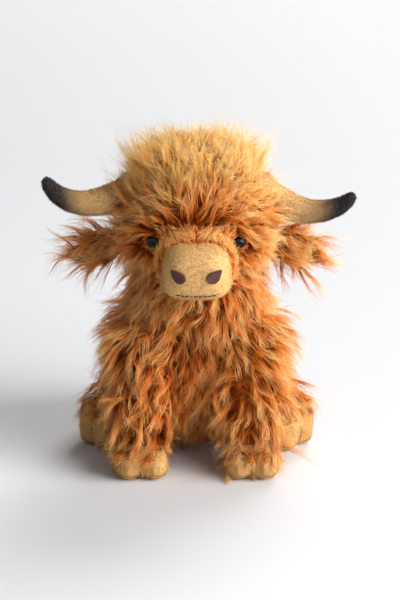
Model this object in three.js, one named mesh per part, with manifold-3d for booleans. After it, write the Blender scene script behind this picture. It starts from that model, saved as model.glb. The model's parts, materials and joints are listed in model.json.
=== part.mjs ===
// A seated plush highland cow: sewn skins over fibre filling, with limbs that flex at their seams.
// Millimetres, +Z up. The origin is the middle of the seat, on the floor.
// The toy faces -Y, and its left is +X.
import * as THREE from "three";
import { mergeVertices } from "three/addons/utils/BufferGeometryUtils.js";
import Module from "manifold-3d";

const wasm = await Module();
wasm.setup();

// Fabric and sewing
const PELT = 8; // long-pile fabric: its backing and the dense foot of the pile
const PLUSH = 2.5; // short-pile fabric of the snout, muzzle, hooves, horns and ear lining
const SEAM_GAP = 0.4; // between two pieces that are sewn together
const THREAD = 0.8; // how far embroidery stands off its fabric

// Body
const SEAT_DROP = 24; // depth of the round bottom that the floor flattens
const BELLY_HEIGHT = 36;
const BELLY_HALF_WIDTH = 71;
const BELLY_HALF_DEPTH = 60;
const CHEST_HEIGHT = 100;
const CHEST_LEAN = 26; // how far the chest stands ahead of the seat
const CHEST_HALF_WIDTH = 66;
const CHEST_HALF_DEPTH = 56;
const NECK_HEIGHT = 142;
const NECK_LEAN = 42;
const NECK_RADIUS = 47;
const NECK_OPENING = 24; // radius of the hole that the filling passes through

// Bag of pellets that weighs the seat down
const BAG_HALF_WIDTH = 40;
const BAG_HALF_DEPTH = 30;
const BAG_HEIGHT = 26;

// Head
const HEAD_RISE = 58; // head centre above the neck centre
const HEAD_FORWARD = 8; // head centre ahead of the neck centre
const HEAD_HALF_WIDTH = 59;
const HEAD_HALF_DEPTH = 54;
const HEAD_HALF_HEIGHT = 50;
const NOD = 12; // degrees, either way

// Snout and muzzle, which share one sloping axis
const SNOUT_DROP = 13; // axis below the head centre
const SNOUT_SLOPE = 8; // degrees down
const SNOUT_HALF_WIDTH = 28.5;
const SNOUT_HALF_HEIGHT = 21.5;
const SNOUT_LENGTH = 68; // head centre to the muzzle's seam
const MUZZLE_HALF_WIDTH = 27;
const MUZZLE_HALF_HEIGHT = 20;
const MUZZLE_LENGTH = 27; // seam to the front of the nose
const NOSTRIL_SPREAD = 14.5;
const NOSTRIL_RISE = 1;
const NOSTRIL_WIDTH = 12;
const NOSTRIL_HEIGHT = 10;
const MOUTH_WIDTH = 30;
const MOUTH_DROP = 15; // mouth line below the muzzle's axis
const MOUTH_STITCH = 1.6; // width of the sewn line

// Safety eyes: a dome on a stem, locked by a washer inside the head
const EYE_SPREAD = 35;
const EYE_DROP = 11; // below the head centre
const EYE_TURN = 24; // degrees outwards
const EYE_RADIUS = 5.5;
const EYE_BULGE = 4.5;
const EYE_SINK = 4; // the eye's back lies this deep in the pile
const EYE_STEM_RADIUS = 1.8;
const WASHER_RADIUS = 6;
const WASHER_THICK = 1.4;

// Crown: the tuft of long hair between the horns
const CROWN_RISE = 40; // middle of the tuft above the head centre
const CROWN_HALF_WIDTH = 50;
const CROWN_HALF_DEPTH = 43;
const CROWN_HALF_HEIGHT = 30;

// Horns, alike but set at different angles by their seams
const HORN_RISE = 23; // root above the head centre
const HORN_BACK = 4; // root behind the head centre
const HORN_SINK = 4; // root centre inside the head's surface
const HORN_LENGTH = 86;
const HORN_DIP = 28; // degrees below level where the horn leaves the head
const HORN_CURL = 95; // degrees that it turns upwards
const HORN_LATENESS = 1.6; // above 1, most of the turn is near the tip
const HORN_STATIONS = 8;
const HORN_BASE_RADIUS = 14;
const HORN_TIP_RADIUS = 6;
const HORN_ROOT_OPENING = 7;
const HORN_FLEX = 8; // degrees, either way
const HORN_SETS = { left: { lift: -10, sweep: 5 }, right: { lift: 4, sweep: 24 } }; // degrees

// Ears
const EAR_DROP = 20; // root below the head centre
const EAR_BACK = 10; // root behind the head centre
const EAR_ROOT_RADIUS = 8;
const EAR_STANDOFF = 2;
const EAR_LENGTH = 46;
const EAR_HALF_WIDTH = 14;
const EAR_HALF_THICK = 4.5;
const EAR_DROOP = 24; // degrees below level
const EAR_SWEEP = -12; // degrees; below zero the tip is set backwards
const EAR_FLOP = { down: 20, up: 12 }; // degrees

// Forelegs
const SHOULDER_SPREAD = 42;
const SHOULDER_REACH = 61; // ahead of the seat
const SHOULDER_HEIGHT = 98;
const SHOULDER_RADIUS = 25;
const KNEE_RADIUS = 23;
const ANKLE_SPREAD = 44;
const ANKLE_REACH = 90;
const ANKLE_HEIGHT = 8; // where the leg's taper ends, inside the hoof
const ANKLE_RADIUS = 19;
const FORELEG_RAISE = 30; // degrees forwards

// Hooves: two toes and a heel
const TOE_HALF_WIDTH = 13;
const TOE_HALF_LENGTH = 18;
const TOE_HEIGHT = 22;
const TOE_APART = 21; // between the middles of the two toes
const TOE_FORWARD = 10; // toes ahead of the ankle
const HEEL_HALF_WIDTH = 21;
const HEEL_HALF_LENGTH = 22;
const HEEL_HEIGHT = 27;
const HOOF_SQUASH = 6; // how much of the round sole the floor flattens
const CLEFT_STITCH = 1.6;

// Hind legs, which lie on the floor with their hooves upright
const HIP_SPREAD = 52;
const HIP_REACH = 14;
const HIP_HEIGHT = 34;
const HIP_RADIUS = 28;
const HIND_TURN = 40; // degrees that the leg points forwards from straight sideways
const HIND_LENGTH = 27; // hip to ankle
const HIND_ANKLE_RADIUS = 21;
const HIND_TOE_HALF_WIDTH = 13;
const HIND_TOE_HALF_LENGTH = 14;
const HIND_TOE_HEIGHT = 40;
const HIND_TOE_APART = 21;
const HIND_TOE_FORWARD = 8;
const HIND_LIFT = 18; // degrees

// Tail
const TAIL_HEIGHT = 58;
const TAIL_ROOT_RADIUS = 7;
const TAIL_LENGTH = 40;
const TUFT_LENGTH = 26;
const TUFT_RADIUS = 9;
const TAIL_SWING = 25; // degrees, either way

const SIDES = { left: 1, right: -1 };
const DEGREE = Math.PI / 180;

// How full a section or an end is: 2 is round, and more is squarer.
const ROUND = 2;
const PLUMP = 2.5;
const FULL = 3.2;
const BLUNT = 4;

const BALL_RINGS = 0.4; // rows of a ball's facets, as a share of the facets round it
const INSIDE_DETAIL = 0.5; // a skin's hidden inner face needs fewer facets
const WORLD = 600; // larger than the toy, for cutting blocks
const UP = new THREE.Vector3(0, 0, 1);
const LEFT = new THREE.Vector3(1, 0, 0);
const BACK = new THREE.Vector3(0, 1, 0);
const at = (x, y, z) => new THREE.Vector3(x, y, z);

// Solids

// A closed geometry as a solid that can be cut and joined.
function solidOf(geometry) {
  const bare = geometry.clone();
  bare.deleteAttribute("normal");
  bare.deleteAttribute("uv");
  const merged = mergeVertices(bare);
  return new wasm.Manifold(
    new wasm.Mesh({
      numProp: 3,
      vertProperties: merged.attributes.position.array,
      triVerts: new Uint32Array(merged.index.array),
    }),
  );
}

function geometryOf(solid) {
  const { vertProperties, triVerts } = solid.getMesh();
  return new THREE.BufferGeometry()
    .setAttribute("position", new THREE.BufferAttribute(vertProperties, 3))
    .setIndex(new THREE.BufferAttribute(triVerts, 1));
}

// The largest of the bodies that a cut leaves; the others are offcuts.
function mainBody(solid) {
  return solid.decompose().reduce((a, b) => (b.volume() > a.volume() ? b : a));
}

// A stuffed form: sections along a curve, drawn in at both ends. It returns a function that gives the solid,
// grown by so many millimetres, so that a skin, its filling and what they fit all come from one shape.
function stuffed({ path, wide, deep, side = LEFT, fullness = PLUMP, section = ROUND, around = 16, along = 10 }) {
  const centre = new THREE.CatmullRomCurve3(path);
  const girth = new THREE.CatmullRomCurve3(path.map((_, i) => at(wide[i], deep[i], i)));
  return (grow = 0) => {
    const points = [];
    const faces = [];
    const detail = grow < 0 ? INSIDE_DETAIL : 1;
    const sides = Math.round(around * detail);
    const spans = Math.round(along * detail);
    const squared = (part) => Math.sign(part) * Math.abs(part) ** (ROUND / section);
    const rings = spans - 1;
    const top = rings * sides + 1;
    const index = (ring, k) => 1 + (ring - 1) * sides + (k % sides);
    for (let ring = 0; ring <= spans; ring++) {
      const u = (1 - Math.cos((Math.PI * ring) / spans)) / 2;
      const closing = (1 - Math.abs(2 * u - 1) ** fullness) ** (1 / fullness);
      const tangent = centre.getTangent(u);
      const middle = centre.getPoint(u).addScaledVector(tangent, grow * (2 * u - 1));
      if (ring === 0 || ring === spans) {
        points.push(...middle);
        continue;
      }
      const across = side.clone().addScaledVector(tangent, -side.dot(tangent)).normalize();
      const out = at(0, 0, 0).crossVectors(tangent, across);
      const size = girth.getPoint(u);
      for (let k = 0; k < sides; k++) {
        const angle = (2 * Math.PI * k) / sides;
        const point = middle
          .clone()
          .addScaledVector(across, squared(Math.cos(angle)) * closing * (size.x + grow))
          .addScaledVector(out, squared(Math.sin(angle)) * closing * (size.y + grow));
        points.push(...point);
      }
    }
    for (let k = 0; k < sides; k++) {
      faces.push(0, index(1, k + 1), index(1, k));
      faces.push(index(rings, k), index(rings, k + 1), top);
      for (let ring = 1; ring < rings; ring++) {
        const [a, b] = [index(ring, k), index(ring, k + 1)];
        const [d, c] = [index(ring + 1, k), index(ring + 1, k + 1)];
        faces.push(a, b, c, a, c, d);
      }
    }
    const geometry = new THREE.BufferGeometry();
    geometry.setAttribute("position", new THREE.Float32BufferAttribute(points, 3));
    return solidOf(geometry.setIndex(faces));
  };
}

// An oval form about a centre, with half-sizes along X, Y and Z.
function oval(centre, half, options = {}) {
  const path = [-1, 0, 1].map((share) => centre.clone().addScaledVector(UP, share * half.z));
  return stuffed({ path, wide: Array(3).fill(half.x), deep: Array(3).fill(half.y), ...options });
}

// A ball whose facets run round its joint's axis. Its socket is larger by the height of a facet and a seam's gap,
// so that the ball turns without touching.
function ball(centre, radius, axis, around = 12) {
  const turn = new THREE.Quaternion().setFromUnitVectors(BACK, axis);
  const solid = (grow, sides) => {
    const sphere = new THREE.SphereGeometry(radius + grow, sides, Math.round(sides * BALL_RINGS));
    return solidOf(sphere.applyQuaternion(turn).translate(...centre));
  };
  const facet = radius * (1 - Math.cos(Math.PI / around));
  return {
    form: (grow = 0) => solid(grow, grow < 0 ? Math.round(around * INSIDE_DETAIL) : around),
    socket: solid(SEAM_GAP + facet, around),
  };
}

// Everything further along a direction than a point.
function beyond(point, direction) {
  const turn = new THREE.Quaternion().setFromUnitVectors(UP, direction.clone().normalize());
  const block = new THREE.BoxGeometry(WORLD, WORLD, WORLD).translate(0, 0, WORLD / 2);
  return solidOf(block.applyQuaternion(turn).translate(...point));
}

const under = (height) => beyond(at(0, 0, height), at(0, 0, -1));

// A round bar between two points, which may taper.
function bar(from, to, radius, endRadius = radius, around = 10) {
  const direction = to.clone().sub(from);
  const turn = new THREE.Quaternion().setFromUnitVectors(BACK, direction.clone().normalize());
  const middle = from.clone().add(to).divideScalar(2);
  const geometry = new THREE.CylinderGeometry(endRadius, radius, direction.length(), around);
  return solidOf(geometry.applyQuaternion(turn).translate(...middle));
}

// A flat outline in X and Z, swept along -Y from a plane.
function prism(outline, front, length, placement) {
  const options = { depth: length, bevelEnabled: false, curveSegments: 8 };
  const geometry = new THREE.ExtrudeGeometry(outline, options);
  return solidOf(geometry.rotateX(Math.PI / 2).translate(0, front, 0).applyMatrix4(placement));
}

function skin(form, wall) {
  return form(0).subtract(form(-wall));
}

const filling = (form, wall) => form(-wall - SEAM_GAP);
const joined = (...forms) => (grow = 0) => forms.map((form) => form(grow)).reduce((a, b) => a.add(b));
const without = (solid, ...cuts) => cuts.reduce((rest, cut) => rest.subtract(cut), solid);

function turnAbout(pivot, axis, degrees) {
  return new THREE.Matrix4()
    .makeTranslation(...pivot)
    .multiply(new THREE.Matrix4().makeRotationAxis(axis, degrees * DEGREE))
    .multiply(new THREE.Matrix4().makeTranslation(...pivot.clone().negate()));
}

// What a limb keeps once it clears its neighbour all the way through its joint's range.
function clearOf(limb, neighbour, { pivot, axis, range }, steps = 1) {
  const shape = geometryOf(neighbour);
  let rest = limb;
  for (let step = 0; step <= steps; step++) {
    const degrees = range[0] + ((range[1] - range[0]) * step) / steps;
    rest = rest.subtract(solidOf(shape.clone().applyMatrix4(turnAbout(pivot, axis, -degrees))));
  }
  return rest;
}

// The point where a ray from inside a form leaves it.
function surfacePoint(form, from, direction) {
  const material = new THREE.MeshBasicMaterial({ side: THREE.DoubleSide });
  const mesh = new THREE.Mesh(geometryOf(form(0)), material);
  const hits = new THREE.Raycaster(from, direction.clone().normalize()).intersectObject(mesh);
  return hits[hits.length - 1].point;
}

// Scene graph: a joint is a group at its pivot, and each mesh is placed from there.

function fabric(color, roughness = 0.95) {
  return new THREE.MeshStandardMaterial({ color, roughness, metalness: 0 });
}

const MATERIALS = {
  fur: fabric("#b5692c"),
  shortFur: fabric("#c47a36"),
  plush: fabric("#c19a5b"),
  horn: fabric("#a08459"),
  thread: fabric("#4a2a2c", 0.6),
  fibre: fabric("#ece8df"),
  bag: fabric("#d9d4c6"),
  eye: fabric("#1c120c", 0.08),
  washer: fabric("#e6e3dc", 0.45),
};

const toy = new THREE.Group();
toy.name = "plush_highland_cow";

function jointGroup(parent, name, { pivot, axis, range }) {
  const group = new THREE.Group();
  group.name = name;
  group.userData = { pivot: pivot.clone(), axis: axis.clone(), range };
  const origin = parent.userData.pivot ?? at(0, 0, 0);
  group.position.copy(pivot).sub(origin);
  parent.add(group);
  return group;
}

function place(group, name, solid, material) {
  const origin = group.userData.pivot ?? at(0, 0, 0);
  const geometry = geometryOf(mainBody(solid)).translate(...origin.clone().negate());
  geometry.computeVertexNormals();
  const mesh = new THREE.Mesh(geometry, material);
  mesh.name = name;
  group.add(mesh);
}

// Body: a pear that leans forwards, with a ball for the neck.

const neck = at(0, -NECK_LEAN, NECK_HEIGHT);
const pear = stuffed({
  path: [at(0, 0, -SEAT_DROP), at(0, 0, BELLY_HEIGHT), at(0, -CHEST_LEAN, CHEST_HEIGHT), neck],
  wide: [BELLY_HALF_WIDTH, BELLY_HALF_WIDTH, CHEST_HALF_WIDTH, NECK_RADIUS],
  deep: [BELLY_HALF_DEPTH, BELLY_HALF_DEPTH, CHEST_HALF_DEPTH, NECK_RADIUS],
});
const neckBall = ball(neck, NECK_RADIUS, LEFT, 22);
const torso = (grow = 0) => pear(grow).add(neckBall.form(grow)).subtract(under(-grow));
const bagHalf = at(BAG_HALF_WIDTH, BAG_HALF_DEPTH, BAG_HEIGHT);
const pelletBag = oval(at(0, 0, PELT + SEAM_GAP), bagHalf, { along: 8 });

// Head

const headCentre = neck.clone().add(at(0, -HEAD_FORWARD, HEAD_RISE));
const headHalf = at(HEAD_HALF_WIDTH, HEAD_HALF_DEPTH, HEAD_HALF_HEIGHT);
const head = oval(headCentre, headHalf, { along: 8 });
const nod = { pivot: neck, axis: LEFT, range: [-NOD, NOD] };

const snoutAxis = at(0, -Math.cos(SNOUT_SLOPE * DEGREE), -Math.sin(SNOUT_SLOPE * DEGREE));
const snoutStart = headCentre.clone().add(at(0, 0, -SNOUT_DROP));
const alongSnout = (distance) => snoutStart.clone().addScaledVector(snoutAxis, distance);
const seam = alongSnout(SNOUT_LENGTH);
const snout = stuffed({
  path: [0, SNOUT_LENGTH, 2 * SNOUT_LENGTH].map(alongSnout),
  wide: Array(3).fill(SNOUT_HALF_WIDTH),
  deep: Array(3).fill(SNOUT_HALF_HEIGHT),
  fullness: BLUNT,
  section: PLUMP,
});
const muzzle = stuffed({
  path: [-MUZZLE_LENGTH, 0, MUZZLE_LENGTH].map((distance) => alongSnout(SNOUT_LENGTH + distance)),
  wide: Array(3).fill(MUZZLE_HALF_WIDTH),
  deep: Array(3).fill(MUZZLE_HALF_HEIGHT),
  fullness: FULL,
  section: PLUMP,
});
const aheadOfSeam = (distance = 0) => beyond(seam.clone().addScaledVector(snoutAxis, distance), snoutAxis);
const behindSeam = (distance = 0) =>
  beyond(seam.clone().addScaledVector(snoutAxis, -distance), snoutAxis.clone().negate());

const crown = oval(
  headCentre.clone().add(at(0, 0, CROWN_RISE)),
  at(CROWN_HALF_WIDTH, CROWN_HALF_DEPTH, CROWN_HALF_HEIGHT),
  { around: 20 },
);

// Embroidery hugs the muzzle: an outline pushed into the thin layer just outside its skin.
const noseLayer = () => muzzle(SEAM_GAP + THREAD).subtract(muzzle(SEAM_GAP)).intersect(aheadOfSeam());
const noseFrame = new THREE.Matrix4()
  .makeTranslation(...seam)
  .multiply(new THREE.Matrix4().makeRotationX(SNOUT_SLOPE * DEGREE));

function nostril(side) {
  const outline = new THREE.Shape();
  outline.moveTo(-NOSTRIL_WIDTH / 2, -NOSTRIL_HEIGHT / 3);
  outline.bezierCurveTo(
    -NOSTRIL_WIDTH / 2, NOSTRIL_HEIGHT / 3, 0, NOSTRIL_HEIGHT / 2, NOSTRIL_WIDTH / 2, NOSTRIL_HEIGHT / 2);
  outline.bezierCurveTo(
    NOSTRIL_WIDTH / 3, -NOSTRIL_HEIGHT / 4, 0, -NOSTRIL_HEIGHT / 2, -NOSTRIL_WIDTH / 2, -NOSTRIL_HEIGHT / 3);
  const points = outline.getPoints(5).map((p) =>
    new THREE.Vector2(side * (p.x + NOSTRIL_SPREAD), p.y + NOSTRIL_RISE));
  return prism(new THREE.Shape(points), 0, 2 * MUZZLE_LENGTH, noseFrame).intersect(noseLayer());
}

function mouth() {
  const half = MOUTH_WIDTH / 2;
  const outline = new THREE.Shape();
  outline.moveTo(-half, -MOUTH_DROP + MOUTH_STITCH);
  outline.quadraticCurveTo(0, -MOUTH_DROP, half, -MOUTH_DROP + MOUTH_STITCH);
  outline.lineTo(half, -MOUTH_DROP);
  outline.quadraticCurveTo(0, -MOUTH_DROP - MOUTH_STITCH, -half, -MOUTH_DROP);
  return prism(outline, 0, 2 * MUZZLE_LENGTH, noseFrame).intersect(noseLayer());
}

// A safety eye, turned on its axis, with the eye's back at the origin and its dome along +Y.
// The stem, from the eye's back past its washer.
const eyeReach = PELT - EYE_SINK + SEAM_GAP + 2 * WASHER_THICK;

function turned(profile, around = 12) {
  return new THREE.LatheGeometry(profile.map(([r, y]) => new THREE.Vector2(r, y)), around);
}

function eyeProfile() {
  const dome = Array.from({ length: 5 }, (_, i) => {
    const angle = (i / 4) * (Math.PI / 2);
    return [EYE_RADIUS * Math.cos(angle), EYE_BULGE * Math.sin(angle)];
  });
  dome[4][0] = 0;
  return [[0, -eyeReach], [EYE_STEM_RADIUS, -eyeReach], [EYE_STEM_RADIUS, 0], ...dome];
}

function washerProfile() {
  const [far, near] = [-eyeReach + WASHER_THICK / 2, -eyeReach + (3 * WASHER_THICK) / 2];
  const bore = EYE_STEM_RADIUS + SEAM_GAP;
  return [[bore, far], [WASHER_RADIUS, far], [WASHER_RADIUS, near], [bore, near], [bore, far]];
}

function eyePlacement(side) {
  const ray = at(side * EYE_SPREAD, headCentre.y, headCentre.z - EYE_DROP);
  const surface = surfacePoint(head, ray, BACK.clone().negate());
  const look = BACK.clone().negate().applyAxisAngle(UP, side * EYE_TURN * DEGREE);
  const turn = new THREE.Quaternion().setFromUnitVectors(BACK, look);
  const seat = surface.addScaledVector(look, -EYE_SINK);
  return new THREE.Matrix4().compose(seat, turn, at(1, 1, 1));
}

const eyePiece = (profile, side) => solidOf(turned(profile).applyMatrix4(eyePlacement(side)));

// The room that an eye, its stem and its washer take in the head.
function eyeRoom(side) {
  const dome = EYE_RADIUS + SEAM_GAP;
  const hole = EYE_STEM_RADIUS + SEAM_GAP;
  const deep = -eyeReach - SEAM_GAP;
  const well = [[0, -SEAM_GAP], [dome, -SEAM_GAP], [dome, PELT], [0, PELT]];
  const stem = [[0, deep], [hole, deep], [hole, 0], [0, 0]];
  const rim = WASHER_RADIUS + SEAM_GAP;
  const shallow = deep + 2 * WASHER_THICK + SEAM_GAP;
  const washer = [[0, deep], [rim, deep], [rim, shallow], [0, shallow]];
  return { well: eyePiece(well, side).add(eyePiece(stem, side)), washer: eyePiece(washer, side) };
}

// Horns: a taper that dips as it leaves the head and then curls upwards.

function hornParts(name) {
  const side = SIDES[name];
  const { lift, sweep } = HORN_SETS[name];
  const ray = headCentre.clone().add(at(0, HORN_BACK, HORN_RISE));
  const root = surfacePoint(head, ray, at(side, 0, 0)).add(at(-side * HORN_SINK, 0, 0));
  const step = HORN_LENGTH / HORN_STATIONS;
  const path = [at(0, 0, 0)];
  for (let i = 0; i < HORN_STATIONS; i++) {
    const turned = HORN_CURL * ((i + 0.5) / HORN_STATIONS) ** HORN_LATENESS;
    const heading = (lift - HORN_DIP + turned) * DEGREE;
    path.push(path[i].clone().add(at(step * Math.cos(heading), 0, step * Math.sin(heading))));
  }
  const { lerp } = THREE.MathUtils;
  const taper = path.map((_, i) => lerp(HORN_BASE_RADIUS, HORN_TIP_RADIUS, i / HORN_STATIONS));
  const forwards = -side * sweep * DEGREE;
  const placed = path.map((p) => at(side * p.x, 0, p.z).applyAxisAngle(UP, forwards).add(root));
  const shaft = stuffed({ path: placed, wide: taper, deep: taper, side: BACK, fullness: BLUNT, around: 10 });
  const leaving = placed[1].clone().sub(root).normalize();
  const joint = { pivot: root, axis: BACK, range: [-HORN_FLEX, HORN_FLEX] };
  return { root, shaft, leaving, joint, ball: ball(root, HORN_BASE_RADIUS, BACK, 12) };
}

const horns = { left: hornParts("left"), right: hornParts("right") };

// Ears: a leaf that hangs from a small root, with furry back and plush lining.

function earParts(name) {
  const side = SIDES[name];
  const ray = headCentre.clone().add(at(0, EAR_BACK, -EAR_DROP));
  const root = surfacePoint(head, ray, at(side, 0, 0)).add(at(side * EAR_STANDOFF, 0, 0));
  const hang = at(Math.cos(EAR_DROOP * DEGREE), 0, -Math.sin(EAR_DROOP * DEGREE));
  const direction = at(side * hang.x, 0, hang.z).applyAxisAngle(UP, -side * EAR_SWEEP * DEGREE);
  const across = at(0, 0, 1).addScaledVector(direction, -direction.z).normalize();
  const face = at(0, 0, 0).crossVectors(direction, across).multiplyScalar(side);
  const reaches = [0, 1 / 3, 2 / 3, 1].map((share) => share * EAR_LENGTH);
  const path = reaches.map((reach) => root.clone().addScaledVector(direction, reach));
  const leaf = stuffed({
    path,
    wide: [EAR_ROOT_RADIUS, EAR_HALF_WIDTH, EAR_HALF_WIDTH, EAR_ROOT_RADIUS],
    deep: Array(4).fill(EAR_HALF_THICK),
    side: across,
    along: 9,
  });
  const axis = BACK.clone().multiplyScalar(side);
  const joint = { pivot: root, axis, range: [-EAR_FLOP.up, EAR_FLOP.down] };
  const front = face.y < 0 ? face : face.clone().negate();
  return { root, leaf, front, joint, ball: ball(root, EAR_ROOT_RADIUS, BACK, 10) };
}

const ears = { left: earParts("left"), right: earParts("right") };

// Hooves: two toes and a heel in one form, flattened by the floor. Half-sizes are across, along and up.

function hoof({ ankle, turn, toe, heel, apart, forward }) {
  const ahead = at(0, -1, 0).applyAxisAngle(UP, turn);
  const across = at(1, 0, 0).applyAxisAngle(UP, turn);
  const base = at(ankle.x, ankle.y, 0);
  const lobe = (half, sideways, onward) => {
    const middle = base.clone().addScaledVector(across, sideways).addScaledVector(ahead, onward);
    middle.z = half.z - HOOF_SQUASH;
    return oval(middle, half, { side: across, around: 12, along: 6 });
  };
  const toes = [-1, 1].map((way) => lobe(toe, (way * apart) / 2, forward));
  const round = joined(...toes, lobe(heel, 0, 0));
  const form = (grow = 0) => round(grow).subtract(under(-grow));
  const cleft = new THREE.BoxGeometry(CLEFT_STITCH, WORLD, WORLD);
  cleft.translate(0, -WORLD / 2 - forward, WORLD / 2 + CLEFT_STITCH);
  const line = solidOf(cleft.rotateZ(turn).translate(...base));
  return { form, stitch: () => form(SEAM_GAP + THREAD).subtract(form(SEAM_GAP)).intersect(line) };
}

// Forelegs: a ball at the shoulder and a taper down to the hoof.

function forelegParts(name) {
  const side = SIDES[name];
  const shoulder = at(side * SHOULDER_SPREAD, -SHOULDER_REACH, SHOULDER_HEIGHT);
  const ankle = at(side * ANKLE_SPREAD, -ANKLE_REACH, ANKLE_HEIGHT);
  const knee = shoulder.clone().add(ankle).divideScalar(2);
  const radii = [SHOULDER_RADIUS, KNEE_RADIUS, ANKLE_RADIUS];
  const path = [shoulder, knee, ankle];
  const shaft = stuffed({ path, wide: radii, deep: radii, fullness: FULL, around: 12, along: 8 });
  const toe = at(TOE_HALF_WIDTH, TOE_HALF_LENGTH, (TOE_HEIGHT + HOOF_SQUASH) / 2);
  const heel = at(HEEL_HALF_WIDTH, HEEL_HALF_LENGTH, (HEEL_HEIGHT + HOOF_SQUASH) / 2);
  const foot = hoof({ ankle, turn: 0, toe, heel, apart: TOE_APART, forward: TOE_FORWARD });
  const joint = { pivot: shoulder, axis: LEFT.clone().negate(), range: [0, FORELEG_RAISE] };
  const inside = (grow) => bar(shoulder, ankle, SHOULDER_RADIUS + grow, ANKLE_RADIUS + grow);
  return { shaft, inside, foot, joint, ball: ball(shoulder, SHOULDER_RADIUS, LEFT) };
}

const forelegs = { left: forelegParts("left"), right: forelegParts("right") };

// Hind legs: a thigh that lies on the floor, pointing outwards and forwards.

function hindlegParts(name) {
  const side = SIDES[name];
  const hip = at(side * HIP_SPREAD, -HIP_REACH, HIP_HEIGHT);
  const direction = at(side * Math.cos(HIND_TURN * DEGREE), -Math.sin(HIND_TURN * DEGREE), 0);
  const ankle = hip.clone().addScaledVector(direction, HIND_LENGTH);
  ankle.z = HIND_ANKLE_RADIUS;
  const middle = hip.clone().add(ankle).divideScalar(2);
  const radii = [HIP_RADIUS, HIP_RADIUS, HIND_ANKLE_RADIUS];
  const path = [hip, middle, ankle];
  const taper = stuffed({ path, wide: radii, deep: radii, side: UP, fullness: FULL, around: 12, along: 8 });
  const shaft = (grow = 0) => taper(grow).subtract(under(-grow));
  const toe = at(HIND_TOE_HALF_WIDTH, HIND_TOE_HALF_LENGTH, (HIND_TOE_HEIGHT + HOOF_SQUASH) / 2);
  const turn = side * (90 - HIND_TURN) * DEGREE;
  const heel = at(HEEL_HALF_WIDTH, HIND_TOE_HALF_LENGTH, (HIND_TOE_HEIGHT + HOOF_SQUASH) / 2);
  const foot = hoof({ ankle, turn, toe, heel, apart: HIND_TOE_APART, forward: HIND_TOE_FORWARD });
  const axis = at(0, 0, 0).crossVectors(direction, UP);
  const joint = { pivot: hip, axis, range: [0, HIND_LIFT] };
  const inside = (grow) => bar(hip, ankle, HIP_RADIUS + grow, HIND_ANKLE_RADIUS + grow);
  return { shaft, inside, foot, joint, ball: ball(hip, HIP_RADIUS, axis) };
}

const hindlegs = { left: hindlegParts("left"), right: hindlegParts("right") };

// Tail: a fabric cord down the back with a brush of hair at its end.

function tailParts() {
  const root = surfacePoint(pear, at(0, 0, TAIL_HEIGHT), BACK).add(at(0, TAIL_ROOT_RADIUS / 2, 0));
  const knot = root.clone().add(at(0, TAIL_ROOT_RADIUS, -TAIL_LENGTH));
  const bend = at(0, knot.y, (root.z + knot.z) / 2);
  const narrow = Array(3).fill(TAIL_ROOT_RADIUS - PLUSH);
  const path = [root, bend, knot];
  const cord = stuffed({ path, wide: narrow, deep: narrow, fullness: BLUNT, around: 10, along: 8 });
  const drops = [0, 0.5, 1].map((share) => TUFT_RADIUS - share * TUFT_LENGTH);
  const down = drops.map((drop) => knot.clone().addScaledVector(UP, drop));
  const brush = Array(3).fill(TUFT_RADIUS);
  const tuft = stuffed({ path: down, wide: brush, deep: brush, fullness: ROUND, around: 12, along: 8 });
  const joint = { pivot: root, axis: BACK, range: [-TAIL_SWING, TAIL_SWING] };
  return { cord, tuft, joint, ball: ball(root, TAIL_ROOT_RADIUS, BACK, 10) };
}

const tail = tailParts();

// Assembly

const limbs = [...Object.values(forelegs), ...Object.values(hindlegs), tail];
const bodySockets = limbs.map((limb) => limb.ball.socket);
const neckBar = (radius) => bar(neck, neck.clone().addScaledVector(UP, 2 * NECK_RADIUS), radius, radius, 16);

function addBody() {
  place(toy, "body_pelt", without(skin(torso, PELT), neckBar(NECK_OPENING), ...bodySockets), MATERIALS.fur);
  const core = filling(torso, PELT).add(neckBar(NECK_OPENING - SEAM_GAP).intersect(neckBall.form(0)));
  const pocket = pelletBag(SEAM_GAP);
  place(toy, "body_filling", without(core, pocket, ...bodySockets), MATERIALS.fibre);
  place(toy, "pellet_bag", without(pelletBag(0), under(PELT + SEAM_GAP), ...bodySockets), MATERIALS.bag);
}

function addHead() {
  const group = jointGroup(toy, "head", nod);
  const roots = [...Object.values(horns), ...Object.values(ears)];
  const sockets = [neckBall.socket, ...roots.map((part) => part.ball.socket)];
  const eyes = Object.values(SIDES).map(eyeRoom);
  const wells = eyes.map((room) => room.well);
  const washers = eyes.map((room) => room.washer);
  const shoulders = pear(SEAM_GAP);
  const shell = without(skin(head, PELT), snout(-PLUSH), ...sockets, ...wells, ...washers);
  place(group, "head_pelt", clearOf(shell, shoulders, nod), MATERIALS.fur);
  const nose = filling(snout, PLUSH).intersect(behindSeam()).add(filling(muzzle, PLUSH));
  const core = without(filling(head, PELT).add(nose), ...sockets, ...wells, ...washers);
  place(group, "head_filling", clearOf(core, shoulders, nod), MATERIALS.fibre);
  const bridge = skin(snout, PLUSH).intersect(behindSeam(SEAM_GAP / 2));
  place(group, "nose_bridge", clearOf(without(bridge, head(SEAM_GAP)), shoulders, nod), MATERIALS.shortFur);
  place(group, "muzzle_skin", skin(muzzle, PLUSH).intersect(aheadOfSeam(SEAM_GAP / 2)), MATERIALS.plush);
  place(group, "mouth_stitch", mouth(), MATERIALS.thread);
  for (const [name, side] of Object.entries(SIDES)) {
    place(group, `nostril_${name}`, nostril(side), MATERIALS.thread);
    place(group, `eye_${name}`, eyePiece(eyeProfile(), side), MATERIALS.eye);
    place(group, `eye_washer_${name}`, eyePiece(washerProfile(), side), MATERIALS.washer);
  }
  const tuft = Object.values(horns).reduce((rest, horn) => {
    return clearOf(rest.subtract(horn.ball.socket), horn.shaft(SEAM_GAP), horn.joint);
  }, crown(0).subtract(head(SEAM_GAP)));
  place(group, "crown_tuft", tuft, MATERIALS.fur);
  return group;
}

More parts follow.
